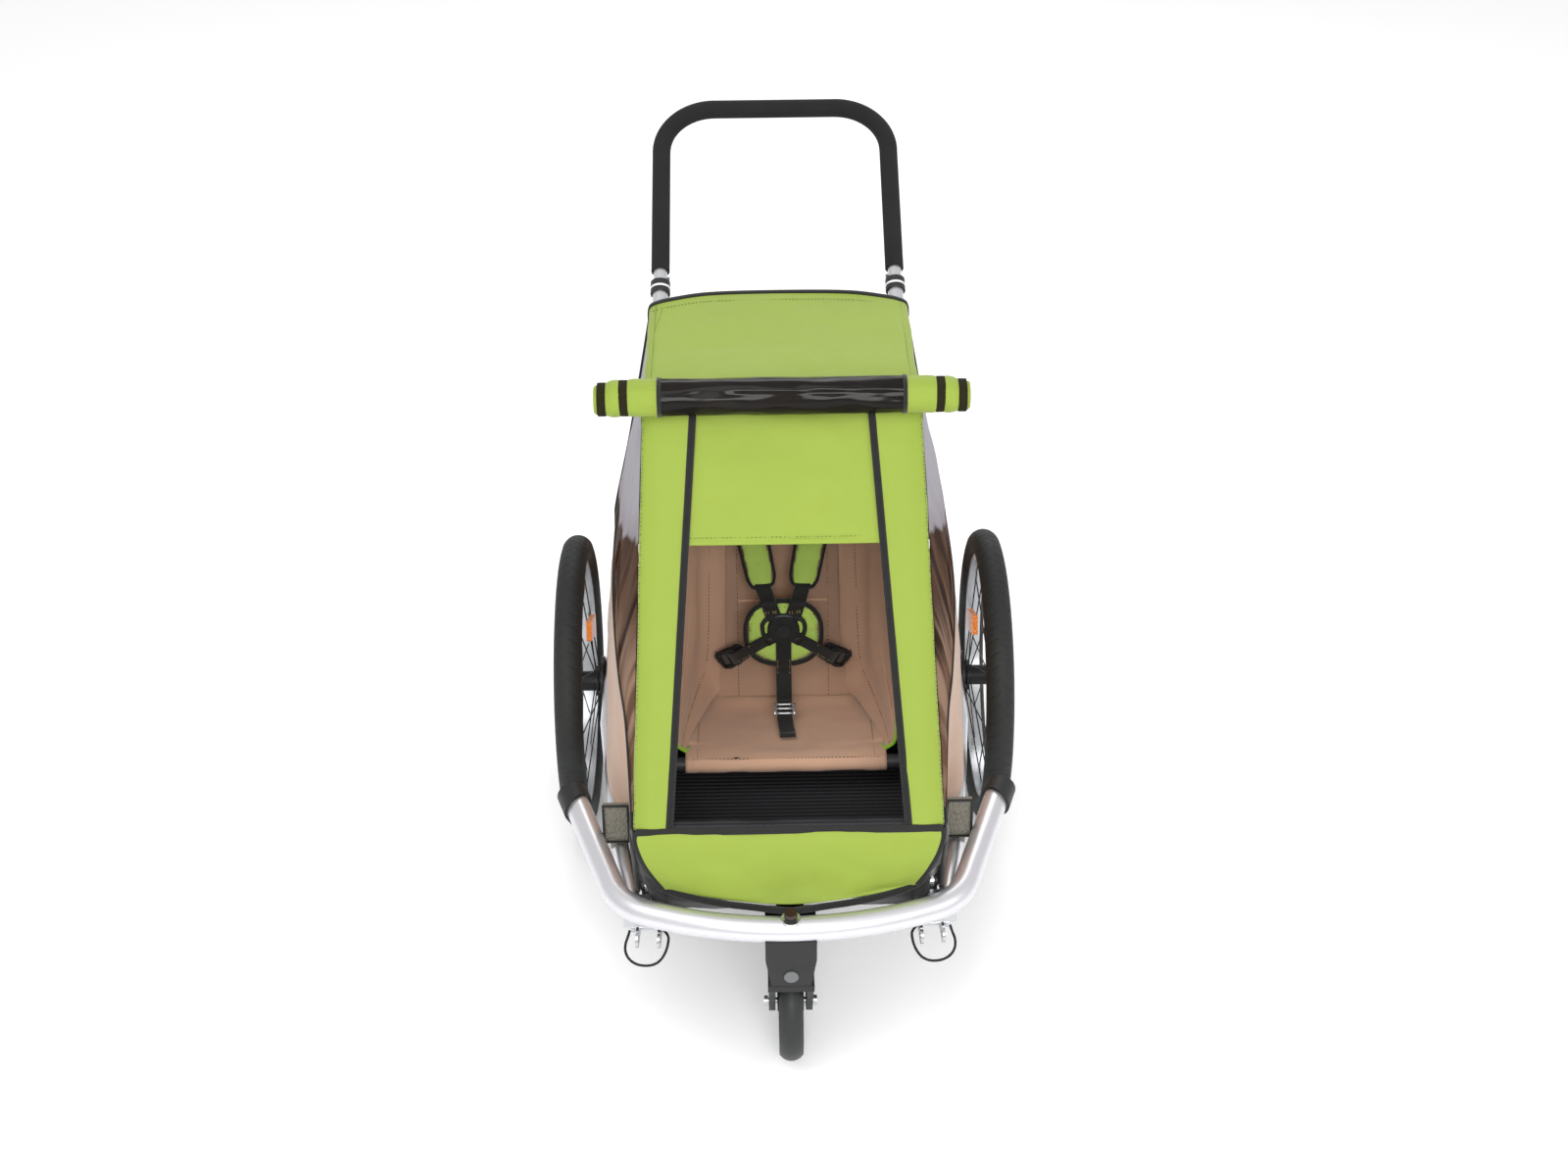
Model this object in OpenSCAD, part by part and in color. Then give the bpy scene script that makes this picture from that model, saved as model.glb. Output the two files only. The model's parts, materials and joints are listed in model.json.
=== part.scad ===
// Child bicycle trailer in stroller trim: a folding tube cage on a wide base frame,
// two quick-release wheels, a swivel caster, a telescopic push bar and a fabric cabin.
// Front is -Y, +X is the right-hand side seen from the front, Z = 0 is the ground.

/* [Wheels] */
// Outer diameter of a tyre
wheel_d = 500; // [480:1:510]
// Tyre section
tyre_d = 47; // [40:1:50]
// Distance between the two wheel planes
track = 692; // [680:1:700]
// Spokes in a wheel
spoke_count = 20; // [16:4:24]
// Lengthwise place of the main axle
axle_y = 71.3; // [60:0.1:76]

/* [Caster] */
// Outer diameter of the caster's tyre
caster_d = 180; // [160:1:184]
// Width of the caster's tyre
caster_w = 36; // [30:1:38]
// Caster axle behind the swivel axis
caster_trail = 47; // [40:1:52]

/* [Cage] */
// Diameter of the cage's tubes
cage_d = 25; // [24:0.5:26]
// Height of the roof tubes' axis
roof_z = 858; // [820:1:880]
// Distance between the roof's side tubes
roof_w = 380; // [360:1:390]
// Slope of the push bar above the horizontal
bar_slope = 29.5; // [25:0.5:35]
// Push bar's bend radius
bar_bend = 88; // [70:1:100]

/* [Bumper] */
// Diameter of the bumper tube
bumper_d = 38; // [32:1:40]
// Height of the bumper's axis
bumper_z = 300; // [290:1:310]

/* [Base] */
// Diameter of the base frame's tubes
rail_d = 25; // [20:1:26]
// Height of the side rails' axis
rail_z = 275; // [270:1:280]
// Distance between the side rails beside the wheels
rail_w = 580; // [574:1:580]

/* [Seat] */
// Width of the seat sling
seat_w = 314; // [280:1:320]
// Recline of the backrest above the horizontal
back_slope = 65; // [60:1:70]

/* [Hidden] */
$fn = 48;
gap = 0.3;                        // between faces that only touch
axle_z = wheel_d / 2;
wheel_x = track / 2;
rim_r = 212;                      // outer radius of the rim, under the tyre
tyre_r = wheel_d / 2 - tyre_d / 2;
hub_in = 304;                     // inner end of a hub, from the centre plane
hub_out = 363;                    // outer end of a hub
axle_r = 6;
brake_teeth = 20;
brake_pin_r = 2.5;
brake_ring_r = 42;
brake_pin_y = 37;                 // brake pin from the axle, along Y

rail_x = rail_w / 2;
rear_y = axle_y + 345;            // rear cross tube
front_y = axle_y - 560;           // front cross tube
hinge_z = 302;                    // both fold hinges
nose_y = front_y + 8;             // cage's knee over the nose
nose_z = 398;
roof_front_y = axle_y - 164;
roof_rear_y = axle_y + 165;
roof_x = roof_w / 2;
foot_x = roof_x + 14;             // cage's feet and knees
eye_w = 16;                       // width of a hinge eye
pin_r = 4;
rear_x = 160;                     // rear frame's uprights
rear_d = 20;
rear_top = [axle_y + 165, 815];   // Y and Z of the rear frame's top bar

bar_dir = [0, cos(bar_slope), sin(bar_slope)];
bar_root = [roof_x, roof_rear_y, roof_z];
socket_l = 52;
socket_start = 10;
bar_l = 414;                      // from the roof's rear corner to the push bar's top
bar_d = 22;
grip_d = 30;
grip_start = 86;
bar_insert = 14;

bumper_y = axle_y - 655;          // bumper's axis at the centre
bumper_arc = 590;
bumper_a1 = 20.5;
bumper_bend = 90;
bumper_a2 = 71;
bumper_arm = 215;
swivel_y = axle_y - 593 - caster_trail;
caster_z = caster_d / 2;
seat_front = [axle_y - 315, 325];
crease = [axle_y - 118, 302];     // Y and Z where seat and backrest meet
back_dir = [cos(back_slope), sin(back_slope)];
roll_c = [roof_front_y - 3, roof_z + 39];

// ---------- vectors and tubes ----------
function unit(v) = v / norm(v);
function at_x(x, p) = [x, p[0], p[1]];

// Places children with their own axes along a, b and c, and their origin at p.
module along(p, a, b, c)
    multmatrix([[a[0], b[0], c[0], p[0]], [a[1], b[1], c[1], p[1]], [a[2], b[2], c[2], p[2]], [0, 0, 0, 1]])
        children();

// Turns +Z to direction d at point p.
module aim(p, d) {
    z = unit(d);
    x = unit(cross(abs(z[2]) > 0.9 ? [0, 1, 0] : [0, 0, 1], z));
    along(p, x, cross(z, x), z) children();
}

module ring2d(r, wall) difference() {
    circle(r = r);
    if (wall > 0) circle(r = r - wall);
}

module straight(a, b, r, wall = 0)
    aim(a, b - a) linear_extrude(norm(b - a)) ring2d(r, wall);

step = 0.15;                      // a bend is this much fatter than the straight lengths let into it
let_in = 1;

// A round bar through corner points, each inner corner bent to radius bend.
module bent_bar(pts, bend, r) {
    n = len(pts) - 1;
    u = [for (i = [0:n - 1]) unit(pts[i + 1] - pts[i])];
    turn = [for (i = [1:n - 1]) acos(u[i - 1] * u[i])];
    cut = [for (t = turn) bend * tan(t / 2)];
    axes = [for (i = [1:n - 1]) unit(cross(u[i - 1], u[i]))];
    for (i = [0:n - 1]) {
        a = i == 0 ? pts[0] : pts[i] + u[i] * (cut[i - 1] - let_in);
        b = i == n - 1 ? pts[n] : pts[i + 1] - u[i] * (cut[i] - let_in);
        x = axes[max(i - 1, 0)];
        along(a, x, cross(u[i], x), u[i]) cylinder(r = r, h = norm(b - a));
    }
    for (i = [1:n - 1]) {
        axis = axes[i - 1];
        start = pts[i] - u[i - 1] * cut[i - 1];
        out = cross(u[i - 1], axis);
        along(start - out * bend, out, cross(axis, out), axis)
            rotate_extrude(angle = turn[i - 1]) translate([bend, 0]) circle(r = r + step);
    }
}

// The same as a tube, open at both ends.
module bent_tube(pts, bend, r, wall) {
    n = len(pts) - 1;
    a = unit(pts[0] - pts[1]);
    b = unit(pts[n] - pts[n - 1]);
    difference() {
        bent_bar(pts, bend, r);
        bent_bar([for (i = [0:n]) pts[i] + (i == 0 ? a : i == n ? b : 0 * a)], bend, r - wall);
    }
}

module both_sides() {
    children();
    mirror([1, 0, 0]) children();
}
module side(s) if (s > 0) children(); else mirror([1, 0, 0]) children();
module x_cyl(x0, x1, p, r) translate([x0, p[0], p[1]]) rotate([0, 90, 0]) cylinder(r = r, h = x1 - x0);
// A sheet between corner points, t thick.
module sheet(pts, t) hull() for (p = pts) translate(p) sphere(d = t, $fn = 8);

// ---------- wheels, drawn on the +X side ----------
module wheel_frame() translate([wheel_x, axle_y, axle_z]) rotate([0, 90, 0]) children();

module tyre() color([0.13, 0.14, 0.14]) wheel_frame() rotate_extrude($fn = 96) difference() {
    translate([tyre_r, 0]) circle(d = tyre_d);
    translate([tyre_r, 0]) circle(d = tyre_d - 8);
    translate([0, -tyre_d / 2]) square([rim_r + gap, tyre_d]);
}

module rim() color("silver") wheel_frame() rotate_extrude($fn = 96) difference() {
    translate([rim_r - 14, -13]) square([14, 26]);
    translate([rim_r - 12, -11]) square([9, 22]);
}

// One spoke in four leaves each side of each flange, crossing its neighbour.
module spoke(i, r) {
    flange = i % 2 == 0 ? 1 : -1;
    lean = floor(i / 2) % 2 == 0 ? 1 : -1;
    a = i * 360 / spoke_count;
    from_a = a - lean * 52;
    from = [21 * cos(from_a), 21 * sin(from_a), flange * 20 - 10 + lean * (flange == lean ? 4.3 : 3.4)];
    to = [(rim_r - 14.6) * cos(a), (rim_r - 14.6) * sin(a), flange * 2];
    straight(from, to, r);
}

module spokes() color([0.1, 0.1, 0.1]) wheel_frame() for (i = [0:spoke_count - 1]) spoke(i, 1.1);

module hub() color([0.09, 0.09, 0.09]) difference() {
    union() {
        x_cyl(hub_in + 5, hub_out, [axle_y, axle_z], 17);
        for (f = [-1, 1])
            x_cyl(wheel_x - 12 + f * 20, wheel_x - 8 + f * 20, [axle_y, axle_z], 26);
        translate([hub_in, axle_y, axle_z]) rotate([0, 90, 0]) linear_extrude(5) brake_ring2d();
    }
    x_cyl(hub_in - 1, hub_out + 1, [axle_y, axle_z], axle_r + 0.08);
}

module brake_ring2d() difference() {
    circle(r = brake_ring_r);
    for (i = [0:brake_teeth - 1]) rotate(i * 360 / brake_teeth) translate([brake_pin_y, 0])
        circle(r = brake_pin_r + 0.5, $fn = 20);
}

module wheel_reflector() color("orange") wheel_frame() difference() {
    rotate(152) translate([92, 0, -25]) linear_extrude(9) offset(4, $fn = 24) square([26, 82], center = true);
    for (i = [0:spoke_count - 1]) spoke(i, 1.4);
}

module axle() color("silver") difference() {
    union() {
        x_cyl(262, hub_out + 1, [axle_y, axle_z], axle_r);
        x_cyl(hub_out + 0.4, hub_out + 3, [axle_y, axle_z], 12);
    }
    x_cyl(hub_out - 20, hub_out + 5, [axle_y, axle_z], 4.2);
}

module axle_button() color([0.2, 0.2, 0.2])
    x_cyl(hub_out - 12, hub_out + 7, [axle_y, axle_z], 4.1);

// ---------- caster ----------
module caster_block() hull() {
    translate([-37, swivel_y - 34, 256]) cube([74, 74, 36]);
    translate([-29, swivel_y - 36, 208]) cube([58, 68, 24]);
}

module caster_bracket() color([0.22, 0.24, 0.24]) difference() {
    union() {
        caster_block();
        translate([-20, swivel_y + 30, 262]) cube([40, front_y - swivel_y - 30, 26]);
    }
    translate([0, swivel_y, 200]) cylinder(r = 7.1, h = 74);
    translate([0, swivel_y - 50, 226]) rotate([-90, 0, 0]) cylinder(r = 10.6, h = 32);
    bumper_bow(bumper_d / 2 + 0.15);
    x_cyl(-60, 60, [front_y, rail_z], rail_d / 2 + 0.15);
}

module caster_release_button() color([0.6, 0.6, 0.6])
    translate([0, swivel_y - 38, 226]) rotate([-90, 0, 0]) cylinder(r = 10.5, h = 14);

module fork_leg() hull() {
    translate([caster_w / 2 + 5, swivel_y + caster_trail, caster_z]) rotate([0, 90, 0]) cylinder(r = 15, h = 10);
    translate([caster_w / 2 + 5, swivel_y - 26, 188]) cube([10, 58, 12]);
}

module caster_fork() color([0.22, 0.24, 0.24]) difference() {
    union() {
        hull() {
            translate([-34, swivel_y - 30, 188]) cube([68, 62, 10]);
            translate([0, swivel_y, 204]) cylinder(r = 27, h = 2);
        }
        translate([0, swivel_y, 190]) cylinder(r = 7, h = 81);
        both_sides() fork_leg();
    }
    x_cyl(-60, 60, [swivel_y + caster_trail, caster_z], 5.05);
    x_cyl(-caster_w / 2 - 5, caster_w / 2 + 5, [swivel_y + caster_trail, caster_z], caster_z + 6);
}

module caster_spin(r0, r1, w, bulge = 0)
    translate([0, swivel_y + caster_trail, caster_z]) rotate([0, 90, 0]) rotate_extrude($fn = 72)
        difference() {
            intersection() {
                translate([r0, -w / 2]) square([r1 - r0, w]);
                if (bulge > 0) translate([r1 - bulge, 0]) scale(1) circle(r = bulge);
                else square([2 * r1, 2 * w], center = true);
            }
        }

module caster_rim() color([0.3, 0.3, 0.3]) difference() {
    union() {
        caster_spin(5.2, 16, caster_w + 4);
        caster_spin(16, 58, 8);
        caster_spin(52, 64, caster_w - 8);
    }
    for (i = [0:4]) translate([0, swivel_y + caster_trail, caster_z]) rotate([i * 72, 0, 0])
        translate([-20, 0, 35]) rotate([0, 90, 0]) cylinder(r = 9, h = 40);
}

module caster_tyre() color([0.13, 0.14, 0.14])
    translate([0, swivel_y + caster_trail, caster_z]) rotate([0, 90, 0]) rotate_extrude($fn = 72)
        intersection() {
            translate([64.1, -caster_w / 2]) square([caster_z - 64.1, caster_w]);
            translate([caster_z - 22, 0]) circle(r = 22);
        }

module caster_axle() color("silver") union() {
    x_cyl(-38, 38, [swivel_y + caster_trail, caster_z], 5);
    for (s = [0, 1]) mirror([s, 0, 0]) x_cyl(34, 40, [swivel_y + caster_trail, caster_z], 8);
}

// ---------- bumper ----------
arc_c = [0, bumper_y + bumper_arc, bumper_z];
bend_c = arc_c + (bumper_arc - bumper_bend) * [sin(bumper_a1), -cos(bumper_a1), 0];
arm_dir = [cos(bumper_a2), sin(bumper_a2), 0];
arm_start = bend_c + bumper_bend * [sin(bumper_a2), -cos(bumper_a2), 0];
module bumper_bow(r) translate(arc_c) rotate(-90 - bumper_a1 - 0.04)
    rotate_extrude(angle = 2 * bumper_a1 + 0.08, $fn = 160) translate([bumper_arc, 0]) circle(r = r);
module bumper_bar(r, past = 0) {
    bumper_bow(r);
    both_sides() {
        translate(bend_c) rotate(-90 + bumper_a1) rotate_extrude(angle = bumper_a2 - bumper_a1)
            translate([bumper_bend, 0]) circle(r = r + step);
        straight(arm_start - let_in * arm_dir, arm_start + (bumper_arm + past) * arm_dir, r);
    }
}

module bumper_tube() color([0.93, 0.93, 0.94]) difference() {
    bumper_bar(bumper_d / 2);
    bumper_bar(bumper_d / 2 - 2.5, 1);
}

module bumper_end() along(arm_start + bumper_arm * arm_dir, cross(arm_dir, [0, 0, 1]), [0, 0, -1], arm_dir) children();

module bumper_caps() color([0.16, 0.17, 0.17]) both_sides() bumper_end() union() {
    difference() {
        translate([0, 0, -34]) cylinder(r = bumper_d / 2 + 5, h = 34 + gap);
        translate([0, 0, -40]) cylinder(r = bumper_d / 2 + 0.1, h = 60);
        translate([0, 0, -26]) rotate([0, 25, 0]) translate([-60, -40, -60]) cube([120, 80, 60]);
    }
    translate([0, 0, gap]) cylinder(r = bumper_d / 2 + 5, h = 8);
    translate([0, 0, -20]) cylinder(r = bumper_d / 2 - 2.7, h = 20 + 2 * gap);
}

module cover_hook() color([0.25, 0.17, 0.12]) translate([0, bumper_y, bumper_z]) union() {
    difference() {
        translate([0, 0, 12]) cylinder(r = 14, h = 10);
        rotate([0, 90, 0]) translate([0, 0, -30]) cylinder(r = bumper_d / 2 + 0.3, h = 60);
    }
    translate([0, 0, 21]) cylinder(r = 7, h = 8);
    translate([0, 0, 28]) cylinder(r1 = 10, r2 = 9, h = 5);
}

// ---------- base frame ----------
rail_pts = [[rail_x, rear_y - 0.01, rail_z], [rail_x, axle_y - 150, rail_z], [258, axle_y - 430, rail_z],
            [228.6, axle_y - 580.5, rail_z]];
module rail_run(r) bent_bar(rail_pts, 60, r);

module side_rails() color([0.85, 0.85, 0.87]) both_sides() bent_tube(rail_pts, 60, rail_d / 2, 2);

module cross_tubes() color([0.85, 0.85, 0.87]) {
    x_tube(rail_x - rail_d / 2 - gap, [rear_y - 12, rail_z], rail_d / 2);
    x_tube(217, [front_y, rail_z], rail_d / 2);
    x_tube(277, [axle_y, axle_z], 11);
}
module x_tube(half, p, r) translate([-half, p[0], p[1]]) rotate([0, 90, 0]) linear_extrude(2 * half) ring2d(r, 2);

module hub_receivers() color([0.2, 0.2, 0.2]) both_sides() difference() {
    union() {
        translate([277.2, axle_y - 30, 226]) cube([24.3, 80, rail_z - 226]);
        x_cyl(277.2, 301.5, [axle_y, axle_z], 19);
    }
    x_cyl(260, 310, [axle_y, axle_z], axle_r + 0.08);
    x_cyl(260, 310, [axle_y + brake_pin_y, axle_z], brake_pin_r + 0.08);
    rail_run(rail_d / 2 + 0.15);
}

module lug_plate(x, y) {
    x_cyl(x, x + 4, [y, hinge_z], 11);
    translate([x, y - 11, rail_z]) cube([4, 22, hinge_z - rail_z]);
}

module hinge_lugs(x, y) difference() {
    union() {
        lug_plate(x - eye_w / 2 - 4.5, y);
        lug_plate(x + eye_w / 2 + 0.5, y);
        x_cyl(x - eye_w / 2 - 6, x + eye_w / 2 + 6, [y, hinge_z], pin_r);
    }
    x_cyl(-300, 300, [y, rail_z], rail_d / 2 + 0.1);
}

module frame_hinge_lugs() color([0.3, 0.3, 0.3]) {
    both_sides() {
        hinge_lugs(foot_x, front_y);
        hinge_lugs(rear_x, rear_y - 12);
    }
    brake_mount();
}

module front_reflectors() color([0.6, 0.6, 0.56]) both_sides() {
    translate([259, axle_y - 449, 290]) rotate([-12, 0, 0]) union() {
        translate([-19.5, -4, 0]) cube([39, 8, 63]);
        translate([-14, 3.9, 6]) cube([28, 4, 50]);
    }
    difference() {
        translate([245, axle_y - 452, 276]) cube([24, 18, 15]);
        rail_run(rail_d / 2 + 0.15);
    }
}

// ---------- drawbar couplings under the bumper ----------
db = [208, axle_y - 612, 242];    // centre of the free eye
toe = 4;                          // the couplings turn out a little with the bumper's bow
module toed() translate(db) rotate(toe) translate(-db) children();
module drawbar_brackets() color([0.72, 0.72, 0.74]) both_sides() difference() {
    union() {
        toed() {
            for (x = [db[0] - 18, db[0] + 14]) {
                x_cyl(x, x + 4, [db[1], db[2]], 13);
                translate([x, db[1], db[2] - 9]) cube([4, 50, 24]);
            }
            translate([db[0] - 18, db[1] + 20, db[2] - 9]) cube([4, 32, rail_z - db[2] + 9]);
            translate([db[0] - 18, db[1] + 30, db[2] - 9]) cube([36, 22, rail_z - db[2] + 9]);
        }
        translate([204, axle_y - 606, rail_z - 14]) cube([39, 28, bumper_z - rail_z + 14]);
    }
    toed() x_cyl(db[0] - 30, db[0] + 30, [db[1], db[2]], 5.1);
    toed() x_cyl(db[0] - 30, db[0] + 30, [db[1] + 20, db[2] + 4], 4.06);
    bumper_bar(bumper_d / 2 + 0.15);
    rail_run(rail_d / 2 + 0.15);
    x_cyl(-10, 217.15, [front_y, rail_z], rail_d / 2 + 0.15);
}

module drawbar_pin() color([0.75, 0.75, 0.77]) toed() union() {
    x_cyl(db[0] - 26, db[0] + 22, [db[1] + 20, db[2] + 4], 4);
    x_cyl(db[0] + 22, db[0] + 26, [db[1] + 20, db[2] + 4], 8);
}

// Tether: leaves the pin's head, hangs in a loop and ends inside the inner ear. Points from db.
tether_r = 2;
tether_pts = [for (p = [[29.3, 18, -1], [32, 13, -9], [35, 4, -16], [34, -5, -23], [28, -12, -30], [18, -16, -35],
    [6, -17, -37], [-6, -16, -36], [-16, -12, -32], [-23, -5, -25], [-27, 4, -17], [-28, 13, -9],
    [-25, 18, -5], [-20.3, 22, -2.6]]) db + p];
function catmull(a, b, c, d, t) = 0.5 * (2 * b + (c - a) * t + (2 * a - 5 * b + 4 * c - d) * t * t
    + (3 * b - a - 3 * c + d) * t * t * t);
function smooth(p, n) = let (m = len(p) - 1) [for (i = [0:m - 1], k = [0:n - 1])
    catmull(p[max(i - 1, 0)], p[i], p[i + 1], p[min(i + 2, m)], k / n), p[m]];
function heading(p, i) = unit(p[min(i + 1, len(p) - 1)] - p[max(i - 1, 0)]);

module swept(p, r, sides = 8) {
    rings = [for (i = [0:len(p) - 1]) let (d = heading(p, i), a = unit(cross(d, [0, 1, 0.2])), b = cross(d, a))
        for (k = [0:sides - 1]) p[i] + r * (cos(k * 360 / sides) * a + sin(k * 360 / sides) * b)];
    n = len(p);
    polyhedron(rings, [
        [for (k = [0:sides - 1]) k],
        for (i = [0:n - 2], k = [0:sides - 1]) let (k2 = (k + 1) % sides)
            [i * sides + k, (i + 1) * sides + k, (i + 1) * sides + k2, i * sides + k2],
        [for (k = [sides - 1:-1:0]) (n - 1) * sides + k]
    ]);
}
module pin_tether() color([0.08, 0.08, 0.08]) toed() swept(smooth(tether_pts, 2), tether_r);

// ---------- folding cage ----------
cage_pts = [[foot_x, front_y, hinge_z], [foot_x, nose_y, nose_z], [roof_x, roof_front_y, roof_z],
            [roof_x, roof_rear_y, roof_z], bar_root + bar_dir * (socket_start + socket_l)];
foot_dir = unit(cage_pts[1] - cage_pts[0]);
leg_wall = 1.4;
bar_r = bar_d / 2;

// Eye on a hinge pin at p, with a neck and a collar that closes a tube of radius r starting 20 away.
module eye_on_tube(p, d, r) difference() {
    union() {
        x_cyl(p[0] - eye_w / 2, p[0] + eye_w / 2, [p[1], p[2]], 10);
        aim(p, d) translate([-6.5, -7.5, 0]) cube([13, 15, 17]);
        aim(p, d) translate([0, 0, 16]) cylinder(r = r - 0.4, h = 7);
    }
    x_cyl(p[0] - 30, p[0] + 30, [p[1], p[2]], pin_r + 0.08);
    aim(p, d) translate([0, 0, 5]) cylinder(r = 2, h = 30, $fn = 24);
}

module cage_tubes() color([0.86, 0.86, 0.88]) both_sides() {
    bent_tube(concat([cage_pts[0] + foot_dir * 20], [for (i = [1:4]) cage_pts[i]]), 40, cage_d / 2, leg_wall);
    eye_on_tube(cage_pts[0], foot_dir, cage_d / 2);
}

module cage_bar(x, p, r) x_tube(x - cage_d / 2 - gap, p, r);
module cage_crossbars() color([0.86, 0.86, 0.88]) {
    cage_bar(foot_x, [nose_y, nose_z], 9);
    cage_bar(roof_x, [roof_front_y + 46, roof_z], 9);
    cage_bar(roof_x, [roof_rear_y + 19, roof_z + 4], 9);
    both_sides() difference() {
        translate([146, rear_top[0] + rear_d / 2 + 2, rear_top[1] - 2]) cube([26, 6, 45]);
        x_cyl(140, 180, [roof_rear_y + 19, roof_z + 4], 8);
    }
}

rear_foot = [rear_x, rear_y - 12, hinge_z];
rear_tip = [rear_x, rear_top[0], rear_top[1]];
rear_dir = unit(rear_tip - rear_foot);
module rear_frame() color([0.86, 0.86, 0.88]) {
    bent_tube([rear_foot + rear_dir * 20, rear_tip, other(rear_tip), other(rear_foot + rear_dir * 20)], 30, rear_d / 2, 2);
    both_sides() eye_on_tube(rear_foot, rear_dir, rear_d / 2);
    x_tube(rear_x - rear_d / 2 - gap, [rear_y - 12 - 168 * 0.45, hinge_z + 513 * 0.45], 7);
}

// ---------- push bar ----------
function on_bar(s) = bar_root + bar_dir * s;
bar_top = on_bar(bar_l);
module push_bar_sockets() color([0.12, 0.12, 0.12]) both_sides() straight(
    on_bar(socket_start + socket_l - 20), on_bar(socket_start + socket_l + 2), 16, 16 - cage_d / 2 - 0.05);

function other(p) = [-p[0], p[1], p[2]];
module push_bar_run(s0, r, wall)
    bent_tube([on_bar(s0), bar_top, other(bar_top), other(on_bar(s0))], bar_bend, r, wall);

module push_bar_tube() color([0.9, 0.9, 0.92]) difference() {
    push_bar_run(bar_insert, bar_r, 2);
    both_sides() button_at(3.1, 14, 2);
}
module push_bar_grip() color([0.16, 0.16, 0.16]) push_bar_run(grip_start, grip_d / 2, grip_d / 2 - bar_r - 0.05);

module button_at(r, h, out = 0)
    along(on_bar(socket_start + socket_l + 10) - [bar_r + out - h, 0, 0], [0, 1, 0], [0, 0, -1], [-1, 0, 0])
        cylinder(r = r, h = h);
module push_bar_button(s) color([0.55, 0.55, 0.55]) side(s) button_at(3, 7, 4);

// ---------- brake ----------
pedal_p = [rear_y + 12, rail_z - 24];
module brake_pedal() color([0.15, 0.15, 0.15]) difference() {
    union() {
        x_cyl(-60, 60, pedal_p, 8);
        translate([-60, pedal_p[0], pedal_p[1] - 7]) cube([120, 62, 7]);
        for (i = [0:3]) translate([-54, pedal_p[0] + 22 + i * 10, pedal_p[1] - 1]) cube([108, 4, 3]);
    }
    x_cyl(-70, 70, pedal_p, 4.08);
}
module brake_mount() difference() {
    union() {
        for (s = [-1, 1]) {
            x_cyl(s * 66 - 5, s * 66 + 5, pedal_p, 9);
            translate([s * 66 - 5, rear_y - 20, pedal_p[1] - 9]) cube([10, pedal_p[0] - rear_y + 20, 30]);
        }
        x_cyl(-70, 70, pedal_p, 4);
    }
    x_cyl(-90, 90, [rear_y - 12, rail_z], rail_d / 2 + 0.1);
}
module brake_pin() color([0.75, 0.75, 0.77]) union() {
    x_cyl(258, hub_in - 0.5, [axle_y + brake_pin_y, axle_z], brake_pin_r);
    x_cyl(258, 262, [axle_y + brake_pin_y, axle_z], 5);
}

// ---------- cabin ----------
// A strip of cloth t thick along [y, z] points, from -half to half across.
function side_of(p, i) = let (d = p[min(i + 1, len(p) - 1)] - p[max(i - 1, 0)]) [-d[1], d[0]] / norm(d);
module band(p, t, half, mid = 0) translate([mid, 0, 0]) rotate([90, 0, 90])
    linear_extrude(2 * half, center = true) polygon(concat(
        [for (i = [0:len(p) - 1]) p[i] + side_of(p, i) * t / 2],
        [for (i = [len(p) - 1:-1:0]) p[i] - side_of(p, i) * t / 2]));

// A closed skin: rows of points, thickened by the vector v, which points along cross(column, row).
module skin(rows, v) {
    m = len(rows[0]);
    n = len(rows);
    pts = [for (r = rows, p = r) p];
    k = len(pts);
    cells = [for (i = [0:n - 2], j = [0:m - 2]) [i * m + j, i * m + j + 1, (i + 1) * m + j + 1, (i + 1) * m + j]];
    tris = [for (c = cells) each [[c[0], c[1], c[2]], [c[0], c[2], c[3]]]];
    rim = concat([for (j = [0:m - 2]) [j, j + 1]], [for (i = [0:n - 2]) [i * m + m - 1, (i + 1) * m + m - 1]],
        [for (j = [m - 2:-1:0]) [(n - 1) * m + j + 1, (n - 1) * m + j]], [for (i = [n - 2:-1:0]) [(i + 1) * m, i * m]]);
    polyhedron(concat(pts, [for (p = pts) p + v]), concat(tris,
        [for (t = tris) [t[2] + k, t[1] + k, t[0] + k]],
        [for (e = rim) each [[e[1], e[0], e[0] + k], [e[1], e[0] + k, e[1] + k]]]));
}

module floor_panel() color([0.13, 0.13, 0.14]) {
    translate([0, 0, 264]) linear_extrude(2.5) polygon([for (p = [[274, 318], [274, -152], [240, -432], [214, -545]])
        [p[0], axle_y + p[1]], for (p = [[-214, -545], [-240, -432], [-274, -152], [-274, 318]]) [p[0], axle_y + p[1]]]);
}

slope_dir = unit([roof_front_y - nose_y, roof_z - nose_z]);
slope_out = [-slope_dir[1], slope_dir[0]];
slope_l = norm([roof_front_y - nose_y, roof_z - nose_z]);
function on_slope(u, h) = [nose_y, nose_z] + slope_dir * u + slope_out * h;
lift = cage_d / 2 + 0.6;

module nose_panel() color([0.68, 0.76, 0.35]) skin([
    for (r = [[-590, 304, 182], [-588, 330, 196], [-582, 365, 212], [-572, 398, 221], [-564, 408, 221]])
        [for (j = [-4:4]) [r[2] * j / 4, axle_y + r[0] + 10 * pow(abs(j / 4), 3) * (408 - r[1]) / 104, r[1]]]], [0, -1.6, 0]);

module window_surround() color([0.7, 0.8, 0.4]) both_sides() skin([
    for (u = [0:4]) let (p = on_slope(10 + (slope_l - 12) * u / 4, lift), a = 172 - 41 * u / 4, b = 221 - 18 * u / 4)
        [for (j = [0:3]) [a + (b - a) * j / 3, p[0], p[1]]]], [0, -1.2, 1]);

module sunshade() color([0.7, 0.8, 0.4]) skin([
    for (u = [0:4]) let (p = on_slope(slope_l - 4 - 176 * u / 4, lift - 3))
        [for (j = [-4:4]) [152 * j / 4, p[0], p[1]]]], [0, 1.2, -1]);

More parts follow.
